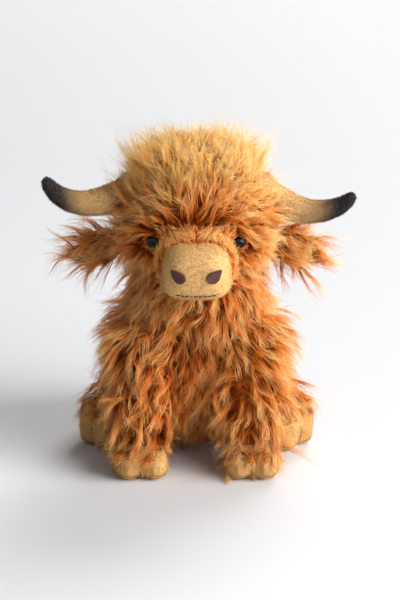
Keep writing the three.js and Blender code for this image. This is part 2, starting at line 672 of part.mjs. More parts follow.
function addHorns(headGroup) {
  for (const [name, { root, shaft, leaving, joint, ball: rootBall }] of Object.entries(horns)) {
    const group = jointGroup(headGroup, `horn_${name}`, joint);
    const inward = root.clone().addScaledVector(leaving, -2 * HORN_BASE_RADIUS);
    const hole = bar(inward, root, HORN_ROOT_OPENING);
    const plug = bar(inward, root, HORN_ROOT_OPENING - SEAM_GAP).intersect(rootBall.form(0));
    const clear = (grow) => clearOf(shaft(grow), head(SEAM_GAP - grow), joint).add(rootBall.form(grow));
    place(group, `horn_skin_${name}`, without(clear(0), clear(-PLUSH), hole), MATERIALS.horn);
    place(group, `horn_filling_${name}`, clear(-PLUSH - SEAM_GAP).add(plug), MATERIALS.fibre);
  }
}

function addEars(headGroup) {
  for (const [name, { root, leaf, front, joint, ball: rootBall }] of Object.entries(ears)) {
    const group = jointGroup(headGroup, `ear_${name}`, joint);
    const whole = clearOf(leaf(0), head(SEAM_GAP), joint).add(rootBall.form(0));
    const fold = EAR_HALF_THICK - PLUSH;
    const lining = beyond(root.clone().addScaledVector(front, fold + SEAM_GAP / 2), front);
    const back = beyond(root.clone().addScaledVector(front, fold - SEAM_GAP / 2), front.clone().negate());
    place(group, `ear_pelt_${name}`, whole.intersect(back), MATERIALS.fur);
    const inner = whole.subtract(rootBall.form(SEAM_GAP)).intersect(lining);
    place(group, `ear_lining_${name}`, inner, MATERIALS.plush);
  }
}

function addLeg(kind, name, { shaft, inside, foot, joint, ball: topBall }) {
  const group = jointGroup(toy, `${kind}_${name}`, joint);
  const clear = (solid) => clearOf(solid, torso(SEAM_GAP), joint);
  const outside = clear(shaft(0)).add(topBall.form(0));
  const tube = without(outside, topBall.form(-PELT), inside(-PELT), foot.form(SEAM_GAP));
  place(group, `${kind}_pelt_${name}`, tube, MATERIALS.fur);
  const shoe = without(skin(foot.form, PLUSH), inside(-PELT));
  place(group, `${kind}_hoof_${name}`, clear(shoe), MATERIALS.plush);
  const core = clear(filling(inside, PELT).add(filling(foot.form, PLUSH))).add(filling(topBall.form, PELT));
  place(group, `${kind}_filling_${name}`, core, MATERIALS.fibre);
  place(group, `${kind}_toe_stitch_${name}`, without(foot.stitch(), shaft(SEAM_GAP)), MATERIALS.thread);
}

function addTail() {
  const group = jointGroup(toy, "tail", tail.joint);
  const cord = clearOf(tail.cord(0), torso(SEAM_GAP), tail.joint, 2).add(tail.ball.form(0));
  place(group, "tail_cord", without(cord, tail.tuft(SEAM_GAP)), MATERIALS.fur);
  place(group, "tail_tuft", clearOf(tail.tuft(0), torso(SEAM_GAP), tail.joint, 2), MATERIALS.fur);
}

addBody();
const headGroup = addHead();
addHorns(headGroup);
addEars(headGroup);
for (const name of Object.keys(SIDES)) {
  addLeg("foreleg", name, forelegs[name]);
  addLeg("hindleg", name, hindlegs[name]);
}
addTail();

export default toy;
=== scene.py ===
# The looks of a seated plush highland cow: shaggy fur in locks, plush muzzle, horns and hooves, glossy eyes.
# Metres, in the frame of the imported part: +Z up, the toy faces -Y, and its left is +X.
import json
import math

import bmesh
import bpy
import numpy as np
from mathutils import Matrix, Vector
from mathutils.bvhtree import BVHTree
from mathutils.kdtree import KDTree


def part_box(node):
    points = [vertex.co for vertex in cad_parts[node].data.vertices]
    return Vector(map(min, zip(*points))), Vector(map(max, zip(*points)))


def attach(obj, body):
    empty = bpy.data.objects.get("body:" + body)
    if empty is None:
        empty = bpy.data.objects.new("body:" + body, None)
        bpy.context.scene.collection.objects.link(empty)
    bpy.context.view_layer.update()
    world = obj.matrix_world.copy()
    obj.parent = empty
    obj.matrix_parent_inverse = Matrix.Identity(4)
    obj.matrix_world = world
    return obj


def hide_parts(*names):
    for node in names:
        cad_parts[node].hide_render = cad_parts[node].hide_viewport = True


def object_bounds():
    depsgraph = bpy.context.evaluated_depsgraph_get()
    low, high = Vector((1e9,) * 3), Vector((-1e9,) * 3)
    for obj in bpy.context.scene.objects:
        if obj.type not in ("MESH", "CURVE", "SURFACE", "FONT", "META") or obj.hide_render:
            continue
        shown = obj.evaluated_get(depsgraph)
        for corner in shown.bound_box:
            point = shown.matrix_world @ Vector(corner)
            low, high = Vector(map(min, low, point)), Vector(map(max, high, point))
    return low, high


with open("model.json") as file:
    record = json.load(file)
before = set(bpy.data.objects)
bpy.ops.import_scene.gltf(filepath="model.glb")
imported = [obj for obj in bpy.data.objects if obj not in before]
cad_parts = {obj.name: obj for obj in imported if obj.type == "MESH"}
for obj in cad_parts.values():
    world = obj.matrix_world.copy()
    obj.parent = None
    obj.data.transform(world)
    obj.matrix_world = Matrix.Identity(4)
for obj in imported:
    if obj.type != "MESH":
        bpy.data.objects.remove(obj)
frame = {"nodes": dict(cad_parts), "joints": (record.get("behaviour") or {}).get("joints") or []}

CAD_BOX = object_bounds()
SIDES = {"left": 1, "right": -1}
LEGS = {"foreleg": "raise", "hindleg": "lift"}  # with the last word of the joint's name
LIMBS = [(leg, side) for side in SIDES for leg in LEGS]
JOINTS = {joint["name"]: joint for joint in frame["joints"]}
RNG = np.random.default_rng(7)
MM = 0.001
TINY = 1e-9
TURN = 2 * math.pi
ACROSS = np.array((1.0, 0.0, 0.0))
UP = np.array((0.0, 0.0, 1.0))
DOWN = -UP
LEVEL = 1 - UP  # times a vector, leaves out its height


def pivot(joint):
    return np.array(JOINTS[joint]["pos_m"], float)


def corners(node):
    low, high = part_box(node)
    return np.array(low), np.array(high)


def middle(node):
    return sum(corners(node)) / 2


def heights(node):
    """The lowest and the highest level of a node."""
    low, high = corners(node)
    return low[2], high[2]


# Vectors, one in each row

RIPPLE_SIZES = (0.7, 1.5)  # least and most, as shares of the size asked for


def unit(rows):
    size = np.linalg.norm(rows, axis=-1, keepdims=True)
    return rows / np.maximum(size, TINY)


def along_surface(direction, normals):
    """The part of a direction that lies in the surface with these normals."""
    return direction - normals * np.sum(direction * normals, axis=-1, keepdims=True)


def smoothstep(value, start, end):
    share = np.clip((value - start) / (end - start), 0, 1)
    return share * share * (3 - 2 * share)


def ridge(distance, width):
    """1 where the distance is nothing, and falling off smoothly on both sides."""
    return np.exp(-(distance / width) ** 2)


def ripples(points, size, waves=5):
    """Smooth wandering directions: a sum of waves of about this size."""
    total = np.zeros_like(points)
    for _ in range(waves):
        run = unit(RNG.normal(size=3)) * TURN / (size * RNG.uniform(*RIPPLE_SIZES))
        total += unit(RNG.normal(size=3)) * np.sin(points @ run + RNG.uniform(0, TURN))[:, None]
    return total / waves ** 0.5


# Meshes

SKEW = 0.3  # turns a copy of a strand's direction away from it


def new_object(name, data):
    piece = bpy.data.objects.new(name, data)
    bpy.context.scene.collection.objects.link(piece)
    return piece


def dressed(piece, body, material, node=None):
    """A piece that rides a body and has a material. It may stand for a CAD node."""
    piece.data.materials.clear()
    piece.data.materials.append(material)
    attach(piece, body)
    if node:
        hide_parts(node)
    return piece


def applied(piece):
    """The mesh of a piece with its modifiers applied; the piece itself is removed."""
    graph = bpy.context.evaluated_depsgraph_get()
    mesh = bpy.data.meshes.new_from_object(piece.evaluated_get(graph))
    bpy.data.objects.remove(piece)
    return mesh


def smooth_shaded(mesh):
    mesh.polygons.foreach_set("use_smooth", np.ones(len(mesh.polygons), bool))
    return mesh


def joined_mesh(nodes):
    """One mesh with the vertices and faces of several CAD nodes."""
    points, faces = [], []
    for node in nodes:
        mesh = frame["nodes"][node].data
        start = len(points)
        points.extend(tuple(vertex.co) for vertex in mesh.vertices)
        faces.extend(tuple(start + index for index in polygon.vertices) for polygon in mesh.polygons)
    mesh = bpy.data.meshes.new("joined")
    mesh.from_pydata(points, [], faces)
    return mesh


def set_all(thing, settings):
    for key, value in settings.items():
        setattr(thing, key, value)


def modify(piece, kind, **settings):
    set_all(piece.modifiers.new(kind, kind), settings)


def soft_form(name, nodes, voxel, rounds, shrink=0.0, bridge=0.0):
    """A stuffed form over CAD nodes: one closed skin, remeshed and relaxed until the facets are gone.

    With a bridge, hollows narrower than about twice that are closed first."""
    piece = new_object(name, joined_mesh(nodes))
    modify(piece, "REMESH", mode="VOXEL", voxel_size=voxel)
    if bridge:
        modify(piece, "DISPLACE", strength=bridge, mid_level=0.0)
        modify(piece, "REMESH", mode="VOXEL", voxel_size=voxel)
    modify(piece, "SMOOTH", factor=0.5, iterations=rounds)
    if shrink + bridge:
        modify(piece, "DISPLACE", strength=-shrink - bridge, mid_level=0.0)
    return new_object(name, smooth_shaded(applied(piece)))


def vertex_rows(mesh, key):
    rows = np.empty(len(mesh.vertices) * 3)
    mesh.vertices.foreach_get(key, rows)
    return rows.reshape(-1, 3)


def points_of(piece):
    return vertex_rows(piece.data, "co")


def move_points(piece, points):
    piece.data.vertices.foreach_set("co", points.ravel())
    piece.data.update()


def mesh_arrays(piece):
    """Points, their normals and the corners of each triangle."""
    mesh = piece.data
    mesh.calc_loop_triangles()
    triangles = np.empty(len(mesh.loop_triangles) * 3, int)
    mesh.loop_triangles.foreach_get("vertices", triangles)
    return points_of(piece), vertex_rows(mesh, "normal"), triangles.reshape(-1, 3)


def tree_of(*pieces):
    points, faces = [], []
    for piece in pieces:
        own, _, triangles = mesh_arrays(piece)
        faces.extend((triangles + len(points)).tolist())
        points.extend(own.tolist())
    return BVHTree.FromPolygons(points, faces)


def surface_spot(tree, start, way, rise):
    """Where a ray meets a surface, lifted off it by so much; None where it misses."""
    spot, normal, _, _ = tree.ray_cast(Vector(start), Vector(way))
    return None if spot is None else np.array(spot) + rise * np.array(normal)


def gap_to(points, *pieces):
    tree = tree_of(*pieces)
    return np.array([tree.find_nearest(point)[3] for point in points])


def scatter(piece, count):
    """Points spread evenly by area over a piece, with their normals."""
    points, normals, triangles = mesh_arrays(piece)
    a, b, c = (points[triangles[:, k]] for k in range(3))
    area = np.linalg.norm(np.cross(b - a, c - a), axis=1)
    picked = RNG.choice(len(triangles), count, p=area / area.sum())
    share = np.sqrt(RNG.random(count))[:, None]
    turn = RNG.random(count)[:, None]
    weights = (1 - share, share * (1 - turn), share * turn)
    spots = sum(weight * points[triangles[picked, k]] for k, weight in enumerate(weights))
    facing = sum(weight * normals[triangles[picked, k]] for k, weight in enumerate(weights))
    return spots, unit(facing)


def mesh_of_strands(name, paths, radii, tints):
    """Closed three-sided strands that end in a point. Rows are strands, and columns the points along them.

    The map OFBake holds each strand's tint across and the share of its length up."""
    strands, rings = paths.shape[:2]
    heading = unit(np.gradient(paths, axis=1))
    other = unit(np.roll(heading[:, :1], 1, axis=2) + SKEW)
    aside = unit(np.cross(heading, other))
    upward = np.cross(heading, aside)
    sides = []
    for k in range(3):
        angle = TURN * k / 3
        sides.append(paths + radii[:, :, None] * (math.cos(angle) * aside + math.sin(angle) * upward))
    tube = np.stack(sides, axis=2)[:, :-1].reshape(strands, (rings - 1) * 3, 3)
    points = np.concatenate([tube, paths[:, -1:]], axis=1)
    size = points.shape[1]
    edges = [(k, (k + 1) % 3) for k in range(3)]
    last = (rings - 2) * 3
    quads = [(low + k, low + n, low + 3 + n, low + 3 + k) for low in range(0, last, 3) for k, n in edges]
    wedges = [(2, 1, 0), *((last + k, last + n, size - 1) for k, n in edges)]
    start = (np.arange(strands) * size)[:, None]
    loops = np.concatenate([(start + np.array(faces).ravel()).ravel() for faces in (quads, wedges)])
    corner_counts = np.repeat((4, 3), (strands * len(quads), strands * len(wedges)))
    starts = np.cumsum(corner_counts) - corner_counts
    mesh = bpy.data.meshes.new(name)
    mesh.vertices.add(strands * size)
    mesh.vertices.foreach_set("co", points.ravel())
    mesh.loops.add(len(loops))
    mesh.loops.foreach_set("vertex_index", loops.astype(np.int32))
    mesh.polygons.add(len(starts))
    mesh.polygons.foreach_set("loop_start", starts.astype(np.int32))
    mesh.update(calc_edges=True)
    way = np.append(np.repeat(np.arange(rings - 1), 3), rings - 1) / (rings - 1)
    chart = np.stack([np.repeat(tints, size), np.tile(way, strands)], axis=1)
    layer = mesh.uv_layers.new(name="OFBake")
    layer.uv.foreach_set("vector", chart[loops].astype(np.float32).ravel())
    return smooth_shaded(mesh)


# Fur: strands in locks

LOCK_POINTS = 9
STRAND_POINTS = 6
STRAND_RADIUS = 0.18 * MM
MOST_STRANDS = 6500  # in one piece, so that an export keeps all its faces
LEAST_HEIGHT = 0.6 * MM  # of hair above the floor
HAIR_REACH = 14 * MM  # no hair stands further out of the box round the solids
SKIN_GAP = 0.5 * MM
LOCK_LENGTHS = (0.75, 1.2)  # least and most, as shares of what is asked for; so are the next five
LOCK_LIFTS = (0.55, 1.45)
WAVE_HEIGHTS = (0.4, 1.4)
STRAND_LENGTHS = (0.7, 1.0)
STRAND_WIDTHS = (0.7, 1.25)
NAP_LENGTHS = (0.6, 1.2)
WAVE_COUNTS = (0.6, 1.5)  # along one lock
WAVE_HEAVE = 0.4  # out of the skin, as a share of the wave along it
TIP_LIFT = 0.5  # how much of a lock's lift its tip keeps
BEND = 0.8  # these four shape a change along a hair: below 1 it comes early, above 1 late
GATHER = 0.7
STRAY = 1.5
TAPER = 1.6
TIP_THINNING = 0.75
WILD_SHARE = 0.16  # of all strands
STRAY_MOST = 2.0
BOW = 0.6
LOCK_TINTS = (0.15, 0.75)  # 0 is the darkest hair, and 1 the lightest
STRAND_TINTS = (-0.28, 0.28)
TINT_ENDS = (0.01, 0.99)
# how far broad patches of painted shade and light darken or lighten the hair
SHADE_PATCH_TINT = 0.3
PATCH_SIZE = 60 * MM
NAP_RADIUS = 0.13 * MM
NAP_SHAPE = (1.0, 0.8, 0.0)  # its radius at the root, in the middle and at the tip
NAP_LEAN = 0.4
NAP_SWIRL = 8 * MM  # size of the patches that lean the same way
NAP_SCATTER = 0.25
NAP_HEIGHT = 0.2 * MM  # above the floor


def chosen(arrays, mask):
    return tuple(rows[mask] for rows in arrays)


def joined(*groups):
    """Groups of arrays put end to end, the first with the first and so on."""
    return tuple(np.concatenate(rows) for rows in zip(*groups))


def random_lengths(count, least, most):
    return RNG.uniform(least, most, count) * MM


def nearest_lock(roots, centres):
    tree = KDTree(len(centres))
    for index, centre in enumerate(centres):
        tree.insert(centre, index)
    tree.balance()
    return np.array([tree.find(root)[1] for root in roots])


def lock_axes(centres, normals, comb, length, lift, fall, wave, hook):
    """The middle lines of locks: out of the skin, over into the comb's direction, and round at the tip."""
    count = len(centres)
    way = np.linspace(0, 1, LOCK_POINTS)
    first = unit(normals * lift + comb * (1 - lift))
    final = unit(comb + DOWN * fall + normals * lift * TIP_LIFT)
    across = unit(np.cross(comb, normals))
    bend = way[None, :, None] ** BEND
    turn = RNG.normal(0, hook, (count, 1, 1)) * way[None, :, None] ** 2
    heading = unit(first[:, None] * (1 - bend) + final[:, None] * bend + across[:, None] * turn)
    step = length[:, None, None] / (LOCK_POINTS - 1)
    axes = centres[:, None] + np.cumsum(heading * step, axis=1) - heading[:, :1] * step
    beats = RNG.uniform(*WAVE_COUNTS, count)[:, None] * way
    phase = RNG.uniform(0, 1, count)[:, None]
    swing = np.sin(TURN * (beats + phase)) - np.sin(TURN * phase)
    heave = np.cos(TURN * (beats + phase)) - np.cos(TURN * phase)
    size = (wave * RNG.uniform(*WAVE_HEIGHTS, count))[:, None] * way
    sideways = (size * swing)[:, :, None] * across[:, None]
    outward = (WAVE_HEAVE * size * heave)[:, :, None] * normals[:, None]
    return axes + sideways + outward


def lifted(axes, tree, clear):
    """Locks moved out of the skins that they would cut, a little further towards the tip."""
    for axis in axes:
        for k in range(1, LOCK_POINTS):
            spot, normal, _, _ = tree.find_nearest(axis[k])
            height = (Vector(axis[k]) - spot).dot(normal)
            least = clear * k / (LOCK_POINTS - 1)
            if height < least:
                axis[k] += np.array(normal) * (least - height)
    return axes


def settled(roots, normals, tree):
    """Roots that lie inside a skin are moved out to its surface."""
    for k, root in enumerate(roots):
        spot, normal, _, _ = tree.find_nearest(root)
        if (Vector(root) - spot).dot(normal) < 0:
            roots[k] = spot
            normals[k] = normal
    return roots, normals


def along_axes(axes, lock, way):
    """Strands on the lines of their locks, each over its own share of the length."""
    reach = RNG.uniform(*STRAND_LENGTHS, len(lock))
    place = way[None] * reach[:, None] * (LOCK_POINTS - 1)
    below = np.minimum(place.astype(int), LOCK_POINTS - 2)
    part = (place - below)[:, :, None]
    rows = lock[:, None]
    return axes[rows, below] * (1 - part) + axes[rows, below + 1] * part


def strays(count, way, untidy, wild):
    """How far strands leave their locks: outwards towards the tip, and in a bow. Some do so wildly."""
    loose = np.where(RNG.random(count) < WILD_SHARE, wild, 1.0)[:, None, None]
    stray = untidy * np.clip(RNG.normal(size=(count, 2, 3)), -STRAY_MOST, STRAY_MOST) * loose
    out = stray[:, :1] * way[None, :, None] ** STRAY
    bow = stray[:, 1:] * (np.sin(way * TURN) * way)[None, :, None] * BOW
    return out, bow


def strand_tints(roots, lock, locks):
    """Tints with broad random patches of painted shade and light over the coat, which differ from lock to
    lock, and a little from strand to strand.
    """
    shade_patch = SHADE_PATCH_TINT * ripples(roots, PATCH_SIZE)[:, 0]
    tone = RNG.uniform(*LOCK_TINTS, locks)
    return np.clip(tone[lock] + shade_patch + RNG.uniform(*STRAND_TINTS, len(roots)), *TINT_ENDS)


def grow_fur(roots, normals, flow, length, tree, lift=0.45, fall=0.35, density=12.0, wave=3.5 * MM,
             hook=0.5, toss=0.35, clump=0.82, clear=5 * MM, untidy=1.5 * MM, wild=3.0,
             radius=STRAND_RADIUS, points=STRAND_POINTS):
    """Fur in locks of so many strands, which share a lock's line and draw together towards its tip.

    Flow is the comb's direction. Lift stands the locks up, fall lets them hang, wave, hook and toss stir
    them, clump draws their strands together, and clear keeps them off the skin."""
    count = len(roots)
    comb = unit(along_surface(flow, normals))
    lift = np.broadcast_to(lift, count)
    fall = np.broadcast_to(fall, count)
    seeds = RNG.choice(count, max(2, int(count / density)), replace=False)
    combed = comb[seeds] + RNG.normal(0, toss, (len(seeds), 3))
    combed = unit(along_surface(combed, normals[seeds]))
    sizes = length[seeds] * RNG.uniform(*LOCK_LENGTHS, len(seeds))
    lifts = (lift[seeds] * RNG.uniform(*LOCK_LIFTS, len(seeds)))[:, None]
    axes = lock_axes(roots[seeds], normals[seeds], combed, sizes, lifts, fall[seeds][:, None], wave, hook)
    axes = lifted(axes, tree, clear)
    lock = nearest_lock(roots, roots[seeds])
    way = np.linspace(0, 1, points)
    paths = along_axes(axes, lock, way)
    gather = 1 - clump * way ** GATHER
    paths = paths + (roots - roots[seeds][lock])[:, None] * gather[None, :, None]
    out, bow = strays(count, way, untidy, wild)
    paths = paths + out + bow
    paths[:, :, 2] = np.maximum(paths[:, :, 2], LEAST_HEIGHT)
    taper = 1 - TIP_THINNING * way ** TAPER
    radii = radius * RNG.uniform(*STRAND_WIDTHS, count)[:, None] * taper[None]
    return paths, radii, strand_tints(roots, lock, len(seeds))


def inside_reach(strands):
    """The strands that stay near the box round the solids."""
    low, high = np.array(CAD_BOX[0]) - HAIR_REACH, np.array(CAD_BOX[1]) + HAIR_REACH
    return chosen(strands, np.all((strands[0] > low) & (strands[0] < high), axis=(1, 2)))


def fur_pieces(name, body, strands, material, node=None):
    """Fur as pieces of a moderate size, split by their place round a vertical line."""
    strands = inside_reach(strands)
    roots = strands[0][:, 0] - strands[0][:, 0].mean(axis=0)
    order = np.argsort(np.arctan2(roots[:, 1], roots[:, 0]))
    parts = np.array_split(order, math.ceil(len(order) / MOST_STRANDS))
    for number, part in enumerate(parts, 1):
        label = f"{name}_{number}" if len(parts) > 1 else name
        piece = new_object(label, mesh_of_strands(label, *chosen(strands, part)))
        dressed(piece, body, material, node)


def open_air(roots, normals, others, room):
    """Roots whose way out isn't blocked by another skin close by."""
    tree = tree_of(*others)
    start = roots + normals * SKIN_GAP
    return np.array([tree.ray_cast(Vector(a), Vector(n), room)[0] is None for a, n in zip(start, normals)])


def nap(piece, body, material, count, length):
    """The short pile of plush: fine hairs all over a piece, leaning this way and that."""
    roots, normals = scatter(piece, count)
    lean = along_surface(ripples(roots, NAP_SWIRL) + RNG.normal(0, NAP_SCATTER, roots.shape), normals)
    way = np.linspace(0, 1, len(NAP_SHAPE))[None, :, None]
    size = (length * RNG.uniform(*NAP_LENGTHS, count))[:, None, None]
    paths = roots[:, None] + way * size * unit(normals + NAP_LEAN * lean)[:, None]
    paths[:, :, 2] = np.maximum(paths[:, :, 2], NAP_HEIGHT)
    radii = np.full((count, len(NAP_SHAPE)), NAP_RADIUS) * NAP_SHAPE
    fur_pieces(f"{piece.name}_nap", body, (paths, radii, RNG.random(count)), material)


# Materials

NONE = (0, 0, 0)
ALL = (255, 255, 255)
HAIR_STOPS = (0.08, 0.45, 1.0)  # root, middle and tip
HAIR_GLINT = (255, 212, 150)
TUFT_SCALE = 800.0
TUFT_EDGE = 0.9
TUFT_HEIGHT = 0.25 * MM
TUFT_SHARE = 0.7  # share of the colour's variation that is painted shade, low between the tufts; the rest is random patches
MOTTLE_SCALE = 120.0
BUMP_STRENGTH = 0.6
HORN_REACH = 80 * MM  # from the root of a horn to past where the black is full
HORN_SPECKLE = 10 * MM
IRIS_RAYS = (60.0, 2.0, 1.0)


def srgb(red, green, blue):
    """A colour as it is seen, 0 to 255, in the linear values that a shader takes."""
    shares = np.array((red, green, blue)) / 255
    linear = np.where(shares <= 0.04045, shares / 12.92, ((shares + 0.055) / 1.055) ** 2.4)
    return (*linear.tolist(), 1.0)


def new_material(name, **values):
    """A material, its node tree and its surface shader, with the values that are the same all over."""
    material = bpy.data.materials.new(name)
    material.use_nodes = True
    surface = material.node_tree.nodes["Principled BSDF"]
    for socket, value in values.items():
        surface.inputs[socket.replace("_", " ")].default_value = value
    return material, material.node_tree, surface


def set_socket(tree, socket, value):
    if isinstance(value, bpy.types.NodeSocket):
        tree.links.new(value, socket)
    else:
        socket.default_value = value


def add_node(tree, kind, sockets=None, **settings):
    made = tree.nodes.new(f"ShaderNode{kind}")
    set_all(made, settings)
    for socket, value in (sockets or {}).items():
        set_socket(tree, made.inputs[socket], value)
    return made


def maths(tree, operation, *values, kind="Math"):
    return add_node(tree, kind, dict(enumerate(values)), operation=operation).outputs["Value"]


def remapped(tree, value, start, end, low=0.0, high=1.0):
    """A value carried over from one range to another."""
    sockets = {"Value": value, "From Min": start, "From Max": end, "To Min": low, "To Max": high}
    return add_node(tree, "MapRange", sockets).outputs["Result"]


def ramp(tree, factor, *stops):
    """Colours over a factor; each stop is a place and a colour."""
    made = add_node(tree, "ValToRGB", {"Fac": factor})
    elements = made.color_ramp.elements
    while len(elements) < len(stops):
        elements.new(0.5)
    for element, (place, colour) in zip(elements, stops):
        element.position = place
        element.color = srgb(*colour)
    return made.outputs["Color"]


def mixed(tree, factor, first, second):
    """A mix of two colours, by the sockets that the node has for colours."""
    made = add_node(tree, "Mix", data_type="RGBA")
    for index, value in ((0, factor), (6, first), (7, second)):
        set_socket(tree, made.inputs[index], value)
    return made.outputs[2]


def position(tree):
    return add_node(tree, "TexCoord").outputs["Object"]


def noise(tree, scale, detail=3.0):
    sockets = {"Vector": position(tree), "Scale": scale, "Detail": detail}
    return add_node(tree, "TexNoise", sockets).outputs["Fac"]


def bumped(tree, surface, height, distance):
    made = add_node(tree, "Bump", {"Height": height, "Distance": distance, "Strength": BUMP_STRENGTH})
    tree.links.new(made.outputs["Normal"], surface.inputs["Normal"])


def paint(tree, surface, colour):
    tree.links.new(colour, surface.inputs["Base Color"])


def chart(tree):
    """What the map OFBake holds across and up, such as a strand's tint and the share of its length."""
    made = add_node(tree, "UVMap", uv_map="OFBake").outputs["UV"]
    split = add_node(tree, "SeparateXYZ", {"Vector": made})
    return split.outputs["X"], split.outputs["Y"]


def pile(tree, surface):
    """The small tufts of plush, high in the middle and low between, and a colour factor of painted shade, low
    between the tufts, mixed with random patches.
    """
    cells = add_node(tree, "TexVoronoi", {"Vector": position(tree), "Scale": TUFT_SCALE}, feature="F1")
    tuft = remapped(tree, cells.outputs["Distance"], 0.0, TUFT_EDGE, 1.0, 0.0)
    bumped(tree, surface, tuft, TUFT_HEIGHT)
    return tuft, mixed(tree, TUFT_SHARE, noise(tree, MOTTLE_SCALE), tuft)


def fur_material(name, dark, light):
    """Hair: root, middle and tip of the darkest and of the lightest locks, and every tone between them.
    Darker towards the root: partly the hair's own tone, partly painted shade deep in the coat.
    """
    material, tree, surface = new_material(
        name, Roughness=0.4, Specular_IOR_Level=0.08, Specular_Tint=srgb(*HAIR_GLINT))
    tint, length = chart(tree)
    deep, bright = (ramp(tree, length, *zip(HAIR_STOPS, colours)) for colours in (dark, light))
    paint(tree, surface, mixed(tree, tint, deep, bright))
    return material


def plush_material(name, shade, base, light):
    """Short plush: painted shade low between its small tufts and lighter tops, with random patches and a soft
    sheen.
    """
    material, tree, surface = new_material(
        name, Roughness=0.9, Specular_IOR_Level=0.1, Sheen_Weight=0.12, Sheen_Tint=srgb(*light))
    _, tuft_shade_mottle = pile(tree, surface)
    paint(tree, surface, ramp(tree, tuft_shade_mottle, (0.2, shade), (0.5, base), (0.8, light)))
    return material


def horn_material(name, root):
    """Tan plush, airbrushed to black over the outer part of the horn."""
    material, tree, surface = new_material(name, Roughness=0.9, Specular_IOR_Level=0.1)
    tuft, tuft_shade_mottle = pile(tree, surface)
    reach = maths(tree, "DISTANCE", position(tree), tuple(root), kind="VectorMath")
    speckled = maths(tree, "MULTIPLY_ADD", tuft, HORN_SPECKLE, reach)
    share = remapped(tree, speckled, 0.0, HORN_REACH)
    # both colours are darker between the tufts: painted shade
    tan = ramp(tree, tuft_shade_mottle, (0.15, (172, 132, 84)), (0.5, (200, 160, 108)), (0.85, (220, 184, 134)))
    black = ramp(tree, tuft_shade_mottle, (0.36, (30, 28, 28)), (0.66, (66, 62, 60)))
    soot = ramp(tree, share, (0.5, NONE), (0.66, (150, 150, 150)), (0.84, ALL))
    paint(tree, surface, mixed(tree, soot, tan, black))
    return material


def thread_material(name, dark, light):
    material, tree, surface = new_material(name, Roughness=0.45, Specular_IOR_Level=0.35)
    paint(tree, surface, ramp(tree, noise(tree, 1400.0), (0.35, dark), (0.65, light)))
    return material


def fibre_material(name, shade, light):
    material, tree, surface = new_material(name, Roughness=0.95, Specular_IOR_Level=0.15, Sheen_Weight=0.3)
    wisps = noise(tree, 420.0, 6.0)
    paint(tree, surface, ramp(tree, wisps, (0.35, shade), (0.65, light)))
    bumped(tree, surface, wisps, 1 * MM)
    return material


def eye_material(name):
    """A moulded eye: black pupil, iris dark brown above and amber-brown with fine rays below, the amber a
    painted reflection of the warm fur and floor, dark rim, clear gloss.
    """
    material, tree, surface = new_material(name, Roughness=0.05, Specular_IOR_Level=0.16)
    turn, radius = chart(tree)
    spokes = add_node(tree, "CombineXYZ", {"X": turn, "Y": radius}).outputs[0]
    stretched = add_node(tree, "Mapping", {"Vector": spokes, "Scale": IRIS_RAYS}).outputs[0]
    rays = add_node(tree, "TexNoise", {"Vector": stretched, "Scale": 1.0}).outputs["Fac"]
    amber = ramp(tree, rays, (0.3, (92, 50, 20)), (0.7, (176, 108, 48)))
    # amber only in the lower part of the iris: painted reflection of the fur and floor below
    lower = ramp(tree, turn, (0.5, NONE), (0.66, ALL), (0.8, ALL), (0.95, NONE))
    iris = mixed(tree, lower, srgb(30, 17, 9), amber)
    ring = ramp(tree, radius, (0.42, NONE), (0.52, ALL), (0.74, ALL), (0.84, NONE))
    paint(tree, surface, mixed(tree, ring, srgb(8, 6, 5), iris))
    return material


def plastic_material(name, colour, flecks):
    material, tree, surface = new_material(name, Specular_IOR_Level=0.5)
    paint(tree, surface, ramp(tree, noise(tree, 700.0), (0.4, colour), (0.7, flecks)))
    gloss = remapped(tree, noise(tree, 300.0), 0.0, 1.0, 0.3, 0.5)
    tree.links.new(gloss, surface.inputs["Roughness"])
    return material


FUR = fur_material("long_fur", ((92, 24, 2), (204, 84, 14), (253, 168, 76)),
                   ((150, 52, 6), (255, 174, 76), (255, 238, 176)))
# The crown's hair is paler: partly its own tone, partly painted light for the back light shining through it.
CROWN_FUR = fur_material("crown_fur", ((160, 66, 10), (255, 176, 76), (255, 220, 138)),
                         ((210, 106, 26), (255, 210, 120), (255, 242, 194)))
SHORT_FUR = fur_material("short_fur", ((222, 126, 50), (252, 168, 84), (255, 194, 114)),
                         ((236, 144, 66), (255, 194, 112), (255, 222, 154)))
# The hide is a darker brown than the hair: painted shade for the gaps between the locks.
HIDE = plush_material("hide", (140, 64, 14), (170, 84, 24), (192, 104, 36))
PLUSH = plush_material("tan_plush", (200, 156, 98), (220, 178, 118), (232, 194, 138))
HOOF_PLUSH = plush_material("hoof_plush", (180, 138, 84), (198, 154, 96), (214, 172, 116))
LINING = plush_material("ear_lining", (164, 118, 68), (194, 150, 96), (212, 174, 120))
NOSTRIL_THREAD = thread_material("nostril_thread", (80, 44, 42), (118, 74, 70))
BLACK_THREAD = thread_material("black_thread", (22, 18, 18), (48, 40, 38))
TAN_THREAD = thread_material("tan_thread", (96, 62, 30), (128, 88, 48))
FIBRE = fibre_material("stuffing", (214, 210, 202), (245, 243, 238))
BAG = fibre_material("pellet_cloth", (196, 190, 176), (226, 222, 210))
EYE = eye_material("eye_gloss")
WASHER = plastic_material("washer_plastic", (225, 225, 222), (205, 205, 202))


# Skins under the fur, each in the place of its CAD pelt

